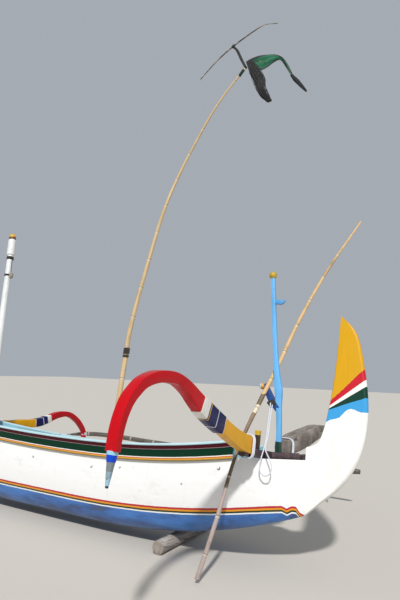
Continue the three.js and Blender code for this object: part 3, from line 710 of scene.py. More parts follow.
# Bow: a carved fish head with its jaws open
JAW_LINES = {
    "upper": ([(2.300, 0.500), (2.400, 0.515), (2.480, 0.560), (2.590, 0.615), (2.700, 0.705), (2.780, 0.815),
               (2.812, 0.925)],
              [(2.300, 0.700), (2.440, 0.705), (2.560, 0.728), (2.660, 0.780), (2.745, 0.862),
               (2.812, 0.925)]),
    "lower": ([(2.300, 0.0), (2.420, 0.335), (2.530, 0.425), (2.612, 0.520), (2.622, 0.556)],
              [(2.300, 0.500), (2.400, 0.515), (2.470, 0.502), (2.550, 0.522), (2.622, 0.556)]),
}


def make_bow():
    bm = bmesh.new()
    steps, reach = 60, 0.512
    foot = keel(BOW_END)

    def half(i, place, t):
        base = half_width(BOW_END, min(max(place.y, foot), hull_top(BOW_END)))
        fore = min(1, max(0, (place.x - BOW_END) / reach))
        edge = min(1, min(t, 1 - t) / 0.12 + 1 - min(1, i / 6))
        return max(0.012, base * (1 - 0.8 * fore)) * (0.45 + 0.55 * math.sin(edge * math.pi / 2))

    def band(place):
        fore = (place.x - BOW_END) / reach + 0.25 * math.sin(place.y * 14) * 0.2
        return max(0, fore * 6.2 - 0.2)

    for low_line, high_line in JAW_LINES.values():
        low = blended([(x, z or foot) for x, z in low_line], steps)
        carved(bm, low, blended(high_line, steps), 12, half, band)
    paint = fan_paint("bow_paint", ("f4f4f0", "2f7fd0", "0f5a3c", "c81b2c", "e9a91c"))
    piece("bow_head_carved", bm, paint, "bow_head", angle=50)
    # eyes: a white ring and a dark pupil on each cheek
    bm = bmesh.new()
    for hand in (1, -1):
        wide = half_width(BOW_END, 0.6) * 0.86
        for radius, proud, material in ((0.034, 0.004, 0), (0.024, 0.007, 1), (0.012, 0.010, 2)):
            made = bmesh.ops.create_uvsphere(bm, u_segments=24, v_segments=12, radius=1)["verts"]
            size = Matrix.Diagonal((radius, proud, radius, 1))
            cheek = Matrix.Translation((2.375, hand * wide, 0.625))
            bmesh.ops.transform(bm, matrix=cheek @ size, verts=made)
            for face in {f for v in made for f in v.link_faces}:
                face.material_index = material
    piece("bow_eyes", bm, [COLLAR_WHITE, plain_paint("eye_red_paint", "b3202a"), TWINE])


make_bow()


# Wash strakes outside the hull's edge, with the cap along each
FLARE = 0.012
STRAKE_THICK = 0.020


def strake_inner(x):
    return half_width(x, strake_top(x) - STRAKE_HEIGHT) + GAP


def make_strakes():
    aft, fore = STRAKE_SPAN
    for name, hand in (("port", 1), ("starboard", -1)):
        def board(x, hand=hand):
            low, high, y = strake_top(x) - STRAKE_HEIGHT, strake_top(x), strake_inner(x)
            corners = [(y, low), (y + STRAKE_THICK, low), (y + STRAKE_THICK + FLARE, high), (y + FLARE, high)]
            return [(hand * a, b) for a, b in softened(corners, 0.002)]

        def cap(x, hand=hand):
            low, high = strake_top(x) + GAP, strake_top(x) + CAP_HEIGHT
            inside = strake_inner(x) + FLARE - 0.002
            outside = inside + STRAKE_THICK + 0.012
            edge = outside - 0.003
            corners = [(inside, low), (edge, low), (outside, (low + high) / 2), (edge, high), (inside, high)]
            return [(hand * a, b) for a, b in softened(corners, 0.003)]

        bm = bmesh.new()
        loft(bm, spaced(aft, fore, 0.025), board, lambda x, p, j: (x, strake_top(x) + CAP_HEIGHT - p.z),
             lambda i, j: 1 if j in (6, 7, 0) else 0)
        for v in bm.verts:
            if v.co.x < aft + 0.001:
                v.co.x -= 0.012 * (v.co.z - strake_top(aft) + STRAKE_HEIGHT) / STRAKE_HEIGHT
        piece(f"strake_{name}_painted", bm, [STRAKE, INNER_BLUE], f"strake_{name}", angle=30)
        bm = bmesh.new()
        loft(bm, spaced(aft, fore, 0.025), cap, lambda x, p, j: (x, p.z))
        piece(f"cap_{name}_rounded", bm, CAP_BLUE, f"gunwale_cap_{name}", angle=40)


make_strakes()


# Rails on the hull's edge aft and on the foredeck's edge forward
def make_rails():
    ends = (("stern", (-1.530, -1.580, -1.630, -1.680), 0.0),
            ("bow", (1.840, 1.980, 2.130, 2.250), PLANK_THICK + GAP))
    for end, places, seat in ends:
        for name, hand in (("port", 1), ("starboard", -1)):
            rows = [(x, hand * (half_beam(x) - 0.024), hull_top(x) + seat + 0.0207, 0.022) for x in places]

            def knotty(run, turn, seed=len(name)):
                return 1 + 0.05 * noise.noise(Vector((run * 14, turn * 3, seed)))

            rod_piece(f"{end}_rail_{name}_round", rows, BROWN, "brown_wood", f"{end}_rail_{name}",
                      swell=knotty, section=circle(18), step=0.01)


make_rails()


# Planks across the hull
PLANK_SPANS = {"thwart_1": (-0.930, -0.770), "thwart_2": (-0.186, -0.026), "thwart_3": (0.560, 0.720),
               "mast_thwart": (1.330, 1.540), "foredeck": (1.830, 2.290)}


def make_planks():
    for name, (aft, fore) in PLANK_SPANS.items():
        straight = name.startswith("thwart")
        half = min(half_beam(aft), half_beam(fore)) - 0.008

        def board(x, straight=straight, half=half, aft=aft, fore=fore):
            t = (x - aft) / (fore - aft)
            low = hull_top(aft) * (1 - t) + hull_top(fore) * t if straight else hull_top(x)
            wide = half if straight else half_beam(x) - 0.001
            low += GAP
            corners = [(-wide, low), (wide, low), (wide, low + PLANK_THICK), (-wide, low + PLANK_THICK)]
            return softened(corners, 0.004)

        bm = bmesh.new()
        loft(bm, spaced(aft, fore, 0.02), board)
        eased(bm, [e for e in bm.edges if e.calc_face_angle(0) > 1.2], 0.003)
        piece(f"{name}_board", bm, PALE_BLUE, name, angle=30)


make_planks()


def make_floor_board():
    def board(x):
        wide = half_width(x, floor_height(x), WALL, FLOOR) - 0.001
        low = floor_height(x) + GAP
        return softened([(-wide, low), (wide, low), (wide, low + 0.018), (-wide, low + 0.018)], 0.003)

    bm = bmesh.new()
    loft(bm, spaced(*FLOOR_SPAN, 0.03), board)
    grey_board = bare_wood("floor_board_wood", ("4b4a48", "7a7873", "a09c94"))
    piece("floor_board_worn", bm, grey_board, "floor_board", angle=30)


make_floor_board()


# Crossbeams
def make_crossbeams():
    for end, x, across in (("rear", REAR_BEAM, REAR_BEAM_ACROSS), ("front", FRONT_BEAM, FRONT_BEAM_ACROSS)):
        bm = bmesh.new()
        bmesh.ops.create_cube(bm, size=1)
        long_edges = [e for e in bm.edges if abs(e.verts[0].co.y - e.verts[1].co.y) > 0.5]
        bmesh.ops.subdivide_edges(bm, edges=long_edges, cuts=20, use_grid_fill=True)
        eased(bm, [e for e in bm.edges if e.calc_face_angle(0) > 1], 0.08)
        bmesh.ops.scale(bm, vec=(BEAM_LONG, across, BEAM_HIGH), verts=bm.verts)
        bmesh.ops.translate(bm, vec=(x, 0, beam_low(x) + BEAM_HIGH / 2), verts=bm.verts)
        piece(f"crossbeam_{end}_hewn", bm, BROWN, f"crossbeam_{end}", angle=30)


make_crossbeams()


# Curved arms over the crossbeams' ends: reach from the keel line, height, half-width along X, half-depth
REAR_FOOT, FRONT_FOOT = 1.660, 1.700
ARM_LINES = {
    "rear_port": (
        (0.345, 0.665, 0.035, 0.053), (0.450, 0.677, 0.0335, 0.050), (0.600, 0.705, 0.032, 0.045),
        (0.750, 0.744, 0.031, 0.043), (0.900, 0.783, 0.031, 0.044), (1.030, 0.826, 0.031, 0.044),
        (1.100, 0.854, 0.031, 0.038), (1.160, 0.880, 0.031, 0.032), (1.270, 0.909, 0.030, 0.027),
        (1.350, 0.908, 0.030, 0.028), (1.450, 0.890, 0.029, 0.027), (1.543, 0.848, 0.0285, 0.024),
        (1.588, 0.806, 0.028, 0.023), (1.621, 0.765, 0.028, 0.022), (1.643, 0.714, 0.0275, 0.020),
        (1.655, 0.665, 0.0275, 0.019), (1.660, 0.617, 0.0275, 0.018), (REAR_FOOT, 0.556, 0.0275, 0.017)),
    "rear_starboard": (
        (0.262, 0.690, 0.052, 0.050), (0.480, 0.742, 0.058, 0.062), (0.715, 0.796, 0.058, 0.062),
        (0.985, 0.862, 0.052, 0.054), (1.180, 0.898, 0.046, 0.043), (1.372, 0.905, 0.038, 0.035),
        (1.540, 0.846, 0.032, 0.031), (1.625, 0.755, 0.028, 0.026), (1.656, 0.660, 0.0275, 0.021),
        (REAR_FOOT, 0.556, 0.0275, 0.019)),
    "front_port": (
        (0.345, 0.612, 0.036, 0.030), (0.525, 0.622, 0.037, 0.034), (0.650, 0.639, 0.038, 0.040),
        (0.787, 0.652, 0.038, 0.042), (0.873, 0.667, 0.038, 0.041), (0.970, 0.702, 0.037, 0.039),
        (1.070, 0.746, 0.036, 0.037), (1.154, 0.784, 0.035, 0.035), (1.300, 0.819, 0.032, 0.030),
        (1.390, 0.813, 0.031, 0.029), (1.469, 0.788, 0.031, 0.028), (1.545, 0.752, 0.030, 0.026),
        (1.608, 0.708, 0.029, 0.025), (1.662, 0.662, 0.028, 0.023), (1.692, 0.615, 0.0275, 0.021),
        (FRONT_FOOT, 0.556, 0.0275, 0.019)),
}
ARM_LINES["front_starboard"] = ARM_LINES["front_port"]
# The wrapped sleeve round each painted arm, and the collar beyond it
SLEEVES = {
    "rear": (((0.768, 0.748, 0.034, 0.050), (0.860, 0.772, 0.034, 0.050), (0.966, 0.804, 0.034, 0.049)),
             ((0.967, 0.8043, 0.0345, 0.0495), (1.034, 0.828, 0.0335, 0.0475))),
    "front": (((0.828, 0.659, 0.042, 0.044), (0.915, 0.680, 0.042, 0.044), (1.006, 0.7172, 0.041, 0.042)),
              ((1.007, 0.7176, 0.0415, 0.0425), (1.050, 0.736, 0.0405, 0.0415))),
}
# Each foot's height and radius
ARM_FOOT = ((0.575, 0.015), (0.5575, 0.022), (0.5565, 0.0235), (0.5435, 0.0225), (0.5165, 0.0185),
            (0.5155, 0.0175), (0.508, 0.0165), (0.470, 0.0125), (0.420, 0.006))
REAR_BANDS = ((0.0, "e0a406"), (0.766, "e8cfc6"), (0.772, "0c124e"), (0.858, "dfe2ec"), (0.866, "0e1452"),
              (0.945, "d8a828"), (0.953, "0e1452"), (0.968, "c20414"), (1.75, "c20414"))
FRONT_BANDS = ((0.0, "e0a406"), (0.828, "e8cfc6"), (0.836, "0c124e"), (0.938, "dfe2ec"), (0.944, "0e1452"),
               (1.003, "f0efe8"), (1.058, "b80615"), (1.75, "b80615"))
FOOT_BANDS = ((0.400, "2c3a4a"), (0.428, "9fc6d8"), (0.455, "8fa9b4"), (0.480, "7f8a8e"), (0.516, "0b4ad2"),
              (0.543, "9ed2e8"), (0.5568, "c20414"), (0.70, "c20414"))


def make_arms():
    ends = {"rear": (REAR_BEAM, REAR_FOOT, arm_paint("rear_arm_paint", REAR_BANDS)),
            "front": (FRONT_BEAM, FRONT_FOOT, arm_paint("front_arm_paint", FRONT_BANDS))}
    foot_paint = arm_paint("arm_foot_paint", FOOT_BANDS, foot=True)
    for name, line in ARM_LINES.items():
        end = name.split("_")[0]
        x, foot, paint = ends[end]
        hand = 1 if name.endswith("_port") else -1
        bare = name == "rear_starboard"
        bm = bmesh.new()
        tube(bm, [(x, hand * r, z, wide, deep) for r, z, wide, deep in line], squared(0.14), 0.02, (1, 0, 0),
             mark=lambda centre, run: abs(centre.y))
        tube(bm, [(x, hand * foot, z, radius) for z, radius in ARM_FOOT], circle(20), 0.006, (1, 0, 0),
             mark=lambda centre, run: centre.z, material=1)
        piece(f"arm_{name}_carved", bm, [ARM_GREY if bare else paint, ARM_GREY if bare else foot_paint],
              f"arm_{name}", angle=26)
        if not bare:
            sleeve, collar = [[(x, hand * r, *rest) for r, *rest in rows] for rows in SLEEVES[end]]
            rod_piece(f"arm_{name}_sleeve", sleeve, paint, "red_paint", section=squared(0.2), step=0.01,
                      side=(1, 0, 0), mark=lambda centre, run: abs(centre.y))
            rod_piece(f"arm_{name}_collar", collar, COLLAR_WHITE, "white_paint", section=squared(0.2),
                      step=0.01, side=(1, 0, 0))


make_arms()


# The float that is left, along the starboard arms
FLOAT_LINE = ((-1.700, 0.586, 0.020), (-1.640, 0.587, 0.027), (-0.900, 0.596, 0.027), (0, 0.606, 0.027),
              (0.734, 0.617, 0.027), (1.120, 0.629, 0.027), (1.475, 0.632, 0.027), (1.730, 0.620, 0.027),
              (1.880, 0.604, 0.023), (2.080, 0.577, 0.008))


def float_y(x):
    return -REAR_FOOT - (FRONT_FOOT - REAR_FOOT) * (x - REAR_BEAM) / (FRONT_BEAM - REAR_BEAM) - 0.0465


def make_float():
    joint = 0.34

    def knuckled(run, turn):
        near = abs((run / joint + 0.5) % 1 - 0.5) * joint
        return 0.985 + 0.05 * math.exp(-(near / 0.008) ** 2)

    rod_piece("float_cane", [(x, float_y(x), z, r) for x, z, r in FLOAT_LINE], FLOAT, "float_wood",
              "float_starboard", section=circle(20), step=0.012, swell=knuckled,
              mark=lambda centre, run: run / joint)
    bm = bmesh.new()
    for x, z in ((REAR_BEAM, 0.589), (FRONT_BEAM, 0.619)):
        between = (x, float_y(x) + 0.0215, z)
        winding(bm, between, (0, 0.1, 1), (0, 1, 0), (0.054, 0.0335), 5, 0.0075, 0.0034, 0.7)
    piece("float_lashings", bm, ROPE)


make_float()


# Mast, with its block, knob and step
MAST_FOOT = 1.357


def make_mast():
    step_low = floor_height(MAST_FOOT + 0.085) + 2 * GAP
    rows = amidships((MAST_FOOT, step_low + 0.020, 0.038), (1.500, 0.910, 0.036), (1.640, 1.740, 0.033),
                     (1.748, 2.386, 0.031), (1.7484, 2.390, 0.040), (1.750, 2.396, 0.042),
                     (1.784, 2.572, 0.040), (1.785, 2.577, 0.037))
    rod_piece("mast_tapered", rows, MAST_WHITE, "white_paint", "mast", section=circle(28), step=0.05)
    top = amidships((1.7851, 2.5774, 0.031), (1.7865, 2.585, 0.036), (1.790, 2.602, 0.0385),
                    (1.794, 2.622, 0.036), (1.798, 2.642, 0.026), (1.800, 2.653, 0.010))
    f = Finish("mast_knob_paint", Coat_Weight=0.2)
    bands = f.bands(f.part(f.flow(), 0), ((0.0, "6b4a22"), (0.030, "dca820"), (0.09, "dca820")))
    rod_piece("mast_knob", top, painted(f, bands, chips=0.03), "yellow_paint", "mast_head",
              section=circle(28), step=0.006)
    block = amidships((1.6590, 2.176, 0.013), (1.6565, 2.162, 0.020), (1.6540, 2.146, 0.022),
                      (1.6515, 2.130, 0.020), (1.6490, 2.116, 0.013))
    rod_piece("mast_rope_block", block, GREY, "grey_wood", "mast_block", section=circle(16), step=0.005)
    bm = bmesh.new()
    up_mast = (0.165, 0, 0.986)
    winding(bm, (1.7415, 0, 2.352), up_mast, (0, 1, 0), (0.0345, 0.0345), 5, 0.007, 0.0032)
    winding(bm, (1.7080, 0, 2.148), up_mast, (0, 1, 0), (0.0355, 0.0355), 3, 0.007, 0.0032)
    line = amidships((1.7045, 2.345, 0.003), (1.690, 2.262, 0.003), (1.670, 2.185, 0.003),
                     (1.657, 2.170, 0.003))
    tube(bm, line, circle(8), 0.02)
    piece("mast_lashings", bm, TWINE)
    bm = bmesh.new()
    made = bmesh.ops.create_cube(bm, size=1)["verts"]
    bmesh.ops.scale(bm, vec=(0.170, 0.104, 0.060), verts=made)
    bmesh.ops.translate(bm, vec=(MAST_FOOT, 0, step_low + 0.030), verts=made)
    eased(bm, list(bm.edges), 0.006)
    piece("mast_step_block", bm, BROWN, "mast_step", angle=30)


make_mast()


# Blue post at the stern, its crook and its small fittings
POST_FOOT = hull_top(-1.522) + 0.0012
POST = amidships((-1.522, POST_FOOT, 0.017, 0.018), (-1.511, 0.795, 0.016, 0.016),
                 (-1.498, 0.942, 0.015, 0.018), (-1.487, 1.060, 0.015, 0.027), (-1.462, 1.205, 0.015, 0.018),
                 (-1.423, 1.500, 0.015, 0.015), (-1.378, 1.905, 0.014, 0.014))
CROOK = amidships((-1.500, 0.925, 0.015, 0.020), (-1.450, 0.985, 0.015, 0.025),
                  (-1.413, 1.045, 0.014, 0.022), (-1.386, 1.104, 0.012, 0.016))


def post_paint():
    f = Finish("post_paint", Coat_Weight=0.15, Coat_Roughness=0.3)
    height = f.part(f.place(), 2)
    base = f.bands(height, ((0.5, "0d3b2c"), (0.715, "69b6f0"), (2.0, "69b6f0")))
    return painted(f, base, dirty=0.35, chips=0.04, under="32507c", grain=(60, 60, 4))


def make_post():
    bm = bmesh.new()
    tube(bm, POST, squared(0.2), 0.02)
    tube(bm, CROOK, squared(0.2), 0.02, material=1)
    # the crook's blue paint is darkened all over to navy: painted shade for its shaded underside
    crook_paint_and_shade = plain_paint("crook_paint_and_shade", "1f4a94", dirty=0.4, chips=0.05, under="1c2b4e",
                              grain=(60, 60, 4))
    piece("stern_post_squared", bm, [post_paint(), crook_paint_and_shade], "stern_post", angle=30)
    knob = amidships((-1.378, 1.9054, 0.018), (-1.3771, 1.913, 0.024), (-1.3760, 1.923, 0.028),
                     (-1.3745, 1.936, 0.029), (-1.3730, 1.948, 0.025), (-1.3718, 1.957, 0.013),
                     (-1.3716, 1.961, 0.004))
    olive = plain_paint("post_knob_paint", "c9a62a", dirty=0.5, chips=0.05, under="4c4a20")
    rod_piece("post_knob_turned", knob, olive, "yellow_paint", "post_knob", section=circle(28), step=0.004)
    hook = amidships((-1.396, 1.722, 0.012, 0.020), (-1.430, 1.716, 0.012, 0.018),
                     (-1.462, 1.711, 0.011, 0.015), (-1.484, 1.728, 0.008, 0.008))
    rod_piece("post_hook_carved", hook, SKY_BLUE, "sky_blue_paint", "post_hook", section=squared(0.3),
              step=0.008)
    bm = bmesh.new()
    made = bmesh.ops.create_uvsphere(bm, u_segments=32, v_segments=20, radius=0.022)["verts"]
    bmesh.ops.translate(bm, vec=(-1.364, 0, 1.087), verts=made)
    f = Finish("ball_paint", Coat_Weight=0.15, Coat_Roughness=0.25)
    halves = f.bands(f.part(f.place(), 0), ((-1.40, "e39a1c"), (-1.362, "bfe4ee"), (-1.33, "bfe4ee")))
    ball_paint = painted(f, halves, dirty=0.3, chips=0.03, under="7a3a20")
    piece("crook_ball_round", bm, ball_paint, "crook_ball", angle=60)
    peg_low = beam_low(REAR_BEAM) + BEAM_HIGH + GAP
    f = Finish("peg_paint")
    bands = f.bands(f.part(f.place(), 2), ((0.5, "3a2a26"), (0.738, "cfa630"), (0.9, "cfa630")))
    sizes = ((peg_low, 0.015), (0.735, 0.016), (0.764, 0.018), (0.768, 0.015))
    rod_piece("lashing_peg_cut", [(REAR_BEAM, 0.215, z, half) for z, half in sizes],
              painted(f, bands, chips=0.05), "brown_wood", "lashing_peg", section=squared(0.35), step=0.02,
              side=(1, 0, 0))


make_post()


# Bamboo poles
LEANING_POLE = ((-1.240, 0.440, -0.112, 0.014), (-1.296, 0.385, 0.200, 0.014), (-1.346, 0.281, 0.625, 0.011),
                (-1.392, 0.075, 0.985, 0.0165), (-1.430, -0.045, 1.195, 0.016), (-1.523, -0.272, 1.678, 0.014),
                (-1.660, -0.464, 2.135, 0.012), (-1.875, -0.650, 2.639, 0.008))
FLAG_POLE = amidships((-0.106, floor_height(-0.106) + GAP + 0.019, 0.023), (-0.100, 0.620, 0.023),
                      (-0.092, 1.180, 0.022), (-0.090, 1.500, 0.020), (-0.157, 2.069, 0.018),
                      (-0.278, 2.754, 0.015), (-0.503, 3.350, 0.012), (-0.698, 3.733, 0.010),
                      (-0.925, 4.035, 0.008))
LEANING_JOINTS = (0.14, 0.36, 0.60, 0.85, 1.10, 1.36, 1.62, 1.88, 2.14, 2.40, 2.66, 2.90)


def cane(name, rows, joints, material, node, side=(0, 1, 0)):
    """A bamboo pole whose joints stand at those runs from its foot"""
    def knuckled(run, turn):
        near = min(abs(run - j) for j in joints)
        return 0.97 + 0.09 * math.exp(-(near / 0.006) ** 2) - 0.03 * math.exp(-((near - 0.016) / 0.007) ** 2)

    def counted(centre, run):
        before = sum(1 for j in joints if j <= run)
        low = joints[before - 1] if before else 0.0
        high = joints[before] if before < len(joints) else low + 0.25
        return before + (run - low) / (high - low)

    rod_piece(name, rows, material, "bamboo", node, section=circle(18), step=0.006, side=side, swell=knuckled,
              mark=counted)


def make_poles():
    cane("leaning_pole_cane", LEANING_POLE, LEANING_JOINTS, MOTTLED, "leaning_pole", (1, 0, 0))
    cane("flag_pole_cane", FLAG_POLE, [0.2 + 0.27 * k for k in range(16)], CANE, "flag_pole")
    bm = bmesh.new()
    winding(bm, (-0.092, 0, 1.330), (0, 0, 1), (1, 0, 0), (0.0245, 0.0245), 6, 0.009, 0.004)
    winding(bm, (-0.092, 0, 1.285), (0, 0, 1), (1, 0, 0), (0.0245, 0.0245), 3, 0.007, 0.003)
    piece("flag_pole_lashing", bm, TWINE)


make_poles()


# Lashings of the arms and the crook
def make_lashings():
    bm = bmesh.new()
    for x, reach, half, high in ((REAR_BEAM, 0.366, 0.043, 0.722), (REAR_BEAM, -0.300, 0.066, 0.752),
                                 (FRONT_BEAM, 0.366, 0.045, 0.646), (FRONT_BEAM, -0.366, 0.045, 0.646)):
        low = beam_low(x)
        winding(bm, (x, reach, (low + high) / 2), (0, 1, 0.05), (1, 0, 0), (half, (high - low) / 2 + 0.008),
                4, 0.009, 0.004, 0.45)
    piece("arm_lashings", bm, ROPE)
    bm = bmesh.new()
    winding(bm, (-1.449, 0, 0.972), (0.62, 0, 0.78), (0, 1, 0), (0.0185, 0.0285), 6, 0.0075, 0.0036, 0.6)
    piece("crook_lashing", bm, TWINE)


make_lashings()


# What flies at the tall pole's tip
STICK = amidships((-0.439, 4.063, 0.004), (-0.600, 4.229, 0.005), (-0.765, 4.351, 0.007),
                  (-1.000, 4.466, 0.005), (-1.083, 4.489, 0.004), (-1.216, 4.452, 0.003))
SPREADER = amidships((-0.931, 4.040, 0.009), (-0.872, 4.160, 0.011), (-0.813, 4.288, 0.009),
                     (-0.766, 4.349, 0.008))
TASSELS = (amidships((-0.962, 4.104, 0.020, 0.044), (-1.028, 3.968, 0.026, 0.066),
                     (-1.090, 3.838, 0.030, 0.068), (-1.112, 3.750, 0.028, 0.050),
                     (-1.155, 3.656, 0.024, 0.046), (-1.206, 3.582, 0.010, 0.026)),
           amidships((-1.391, 3.806, 0.010, 0.012), (-1.432, 3.742, 0.016, 0.022),
                     (-1.486, 3.661, 0.014, 0.020), (-1.535, 3.590, 0.006, 0.009)))
CLOTH_UPPER = ((-0.960, 4.128), (-1.046, 4.134), (-1.106, 4.129), (-1.201, 4.109), (-1.277, 4.045),
               (-1.341, 3.950), (-1.400, 3.815))
CLOTH_LOWER = ((-1.035, 3.990), (-1.093, 3.947), (-1.141, 3.958), (-1.205, 3.998), (-1.267, 4.004),
               (-1.318, 3.936), (-1.382, 3.810))


def fibre_finish():
    f = Finish("black_fibre", Sheen_Weight=0.2, Roughness=0.8)
    tone = f.noise(f.place(), 60, 3)
    return f.done(f.ramp(tone, [(0.3, colour("050506")), (0.7, colour("1d1d22"))]), None,
                  f.bump(f.noise(f.place(), 300, 2), 0.4, 0.001))


def cloth_finish():
    f = Finish("flag_cloth", Sheen_Weight=0.25, Roughness=0.85)
    across = f.part(f.flow(), 1)
    hem = f.ramp(across, [(0, colour("0a0c0d")), (0.20, colour("0d6a48")), (0.84, colour("0a0c0d"))], True)
    fade = f.noise(f.place(), 14, 4)
    base = f.mix(f.spread(fade, 0.4, 0.75, 0, 0.55), hem, colour("06301f"))
    spots = f.node("TexVoronoi", {"Vector": f.flow((26, 9, 1)), "Scale": 1.0, "Randomness": 0.8})
    inside = f.sum(f.spread(across, 0.22, 0.3), f.spread(across, 0.78, 0.84, 1, 0), "MULTIPLY")
    dot = f.sum(f.spread(spots, 0.10, 0.16, 1, 0), inside, "MULTIPLY")
    base = f.mix(dot, base, colour("d99a2c"))
    weave = f.node("TexWave", {"Vector": f.flow((400, 120, 1)), "Scale": 1.0})
    return f.done(base, None, f.bump(weave, 0.3, 0.0006))


def make_flag():
    fibre = fibre_finish()
    rod_piece("flag_stick", STICK, bare_wood("stick_wood", ("2a2018", "5a4632", "d8cdbb")), "brown_wood",
              "flag_bow_stick", section=circle(10), step=0.02)
    steps, wide = 48, 12
    length, height = 0.62, 0.155
    upper, lower = blended(CLOTH_UPPER, steps), blended(CLOTH_LOWER, steps)

    def spot(i, j):
        place = lower[i].lerp(upper[i], j / wide)
        along = i / steps
        fold = 0.012 * math.sin(along * 13 + j * 0.5) * (0.3 + 0.7 * along)
        ripple = 0.006 * math.sin(j * 1.3 + along * 5)
        return Vector((place.x, fold + ripple, place.y))

    bm = bmesh.new()
    layer = bm.loops.layers.uv.new("flow")
    made = bmesh.ops.create_grid(bm, x_segments=steps, y_segments=wide, size=0.5)["verts"]
    index = {v: (round((v.co.x + 0.5) * steps), round((v.co.y + 0.5) * wide)) for v in made}
    for face in bm.faces:
        for loop in face.loops:
            i, j = index[loop.vert]
            loop[layer].uv = (i / steps * length, j / wide)
    for v, (i, j) in index.items():
        v.co = spot(i, j)
    area = sum(face.calc_area() for face in bm.faces)
    bmesh.ops.solidify(bm, geom=list(bm.faces), thickness=0.0012)
    cloth = piece("flag_banner", bm, cloth_finish(), "flag_cloth", angle=70)
    for number, rows in enumerate(TASSELS):
        bm = bmesh.new()
        core = [(x, y, z, a * 0.55, b * 0.55) for x, y, z, a, b in rows]
        tube(bm, core, circle(10), 0.02)
        for _ in range(170 if number == 0 else 70):
            angle, spread = chance.uniform(0, 2 * math.pi), chance.uniform(0.45, 1.0)
            drift = chance.uniform(-0.5, 0.5)
            start = chance.choice((0, 0, 0, 1, 1, 2)) if number == 0 else 0
            strand = []
            for k, (x, y, z, a, b) in enumerate(rows[start:]):
                turn = angle + drift * k
                loose = spread * (0.7 + 0.3 * chance.random())
                strand.append((x + b * loose * math.sin(turn), y + a * loose * math.cos(turn),
                               z + chance.uniform(-0.006, 0.006), 0.0022 - 0.0002 * k))
            if len(strand) > 2:
                tube(bm, strand, circle(4), 0.035)
        piece(f"tassel_{number + 1}_fibres", bm, fibre, f"flag_tassel_{number + 1}", angle=60)
    bm = bmesh.new()
    tube(bm, SPREADER, circle(10), 0.02)
    for _ in range(60):
        angle = chance.uniform(0, 2 * math.pi)
        strand = [(x + 0.012 * math.sin(angle + k), y + 0.012 * math.cos(angle + k), z, 0.002)
                  for k, (x, y, z, _r) in enumerate(SPREADER)]
        tube(bm, strand, circle(4), 0.05)
    piece("spreader_fibres", bm, fibre, "flag_spreader", angle=60)
    bm = bmesh.new()
    winding(bm, (-0.893, 0, 3.992), (-0.55, 0, 0.83), (0, 1, 0), (0.011, 0.011), 12, 0.006, 0.003)
    winding(bm, (-0.768, 0, 4.350), (-0.8, 0, 0.6), (0, 1, 0), (0.012, 0.012), 5, 0.006, 0.003)
    piece("flag_wraps", bm, GREEN_TWINE)


make_flag()


# Log rollers on the ground
def end_grain():
    """Growth rings on a sawn end, greyed in patches"""
    f = Finish("log_end_grain")
    wave = f.node("Math", {0: f.sum(f.part(f.flow(), 0), 520, "MULTIPLY")}, operation="SINE")
    tone = f.mix(f.spread(wave, -1, 1, 0, 0.5), colour("a0958c"), colour("6c625b"))
    grain = f.noise(f.place(), 40, 4)
    base = f.mix(f.spread(grain, 0.4, 0.7, 0, 0.6), tone, colour("4c4540"))
    return f.done(base, 0.9, f.bump(grain, 0.6, 0.002))


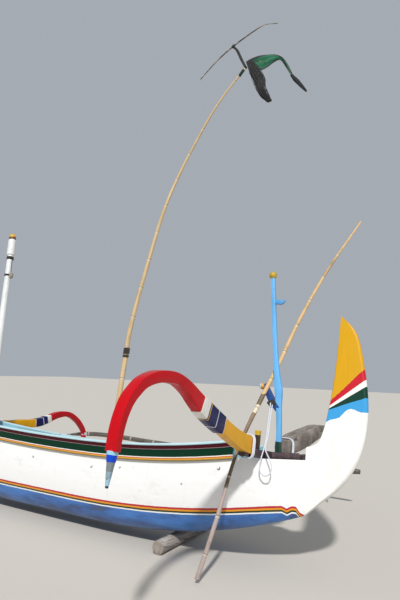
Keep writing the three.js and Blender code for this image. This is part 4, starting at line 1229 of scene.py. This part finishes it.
def make_rollers():
    sawn = end_grain()
    for name in ("rear", "front"):
        low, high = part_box(f"log_roller_{name}")
        centre = (low + high) / 2
        radius = (high.z - low.z) / 2

        def rough(run, turn, seed=len(name)):
            turned = 2 * math.pi * turn
            around = Vector((run * 6, 2.4 * math.sin(turned), 2.4 * math.cos(turned) + seed))
            return 0.985 + 0.02 * noise.noise(around)

        sizes = ((high.y, 0.97), (high.y - 0.004, 0.995), (centre.y, 1.0), (low.y + 0.004, 0.995),
                 (low.y, 0.97))
        rows = [(centre.x, y, centre.z, radius * size) for y, size in sizes]
        bm = bmesh.new()
        tube(bm, rows, circle(40), 0.012, (1, 0, 0), swell=rough, cap=1)
        piece(f"log_{name}_weathered", bm, [LOG, sawn], f"log_roller_{name}",
              space=Matrix.Identity(4), angle=35)


make_rollers()


# Marks on the hull: painted nail heads, each with a painted shadow behind it
def make_nails():
    bm = bmesh.new()
    for x, z, radius in ((0.466, 0.390, 0.009), (-0.157, 0.389, 0.009), (-0.422, 0.416, 0.008),
                         (-0.945, 0.376, 0.007), (-1.207, 0.507, 0.011)):
        wide = half_width(x, z)
        # the second, larger disc is dark and sits low and aft of the head: a painted shadow
        for size, proud, drop, material in ((1.0, 0.45, 0.0, 0), (1.15, 0.2, 0.25, 1)):
            made = bmesh.ops.create_uvsphere(bm, u_segments=16, v_segments=10, radius=radius)["verts"]
            bmesh.ops.scale(bm, vec=(size, proud, size), verts=made)
            bmesh.ops.translate(bm, vec=(x - drop * radius, wide, z - drop * radius), verts=made)
            for face in {f for v in made for f in v.link_faces}:
                face.material_index = material
    piece("hull_nails", bm, [COLLAR_WHITE, BROWN])


make_nails()


# Studio: a pale floor and bright light from high on the port side, a little aft
def make_studio():
    bm = bmesh.new()
    bmesh.ops.create_grid(bm, x_segments=1, y_segments=1, size=40)
    mesh = bpy.data.meshes.new("floor")
    bm.to_mesh(mesh)
    bm.free()
    floor = bpy.data.objects.new("floor", mesh)
    bpy.context.scene.collection.objects.link(floor)
    f = Finish("floor_finish", Roughness=0.9)
    mesh.materials.append(f.done(colour("c8c2b9")))
    world = bpy.data.worlds.new("studio")
    bpy.context.scene.world = world
    world.use_nodes = True
    world.node_tree.nodes["Background"].inputs[0].default_value = (0.84, 0.91, 1.0, 1)
    world.node_tree.nodes["Background"].inputs[1].default_value = 0.45
    data = bpy.data.lights.new("key", "SUN")
    data.energy = 3.1
    data.angle = 0.06
    data.color = (1.0, 0.99, 0.97)
    lamp = bpy.data.objects.new("key", data)
    lamp.rotation_euler = Vector((0.45, -0.90, -1.0)).to_track_quat("-Z", "Y").to_euler()
    bpy.context.scene.collection.objects.link(lamp)
    bpy.context.scene.view_settings.view_transform = "Standard"


make_studio()
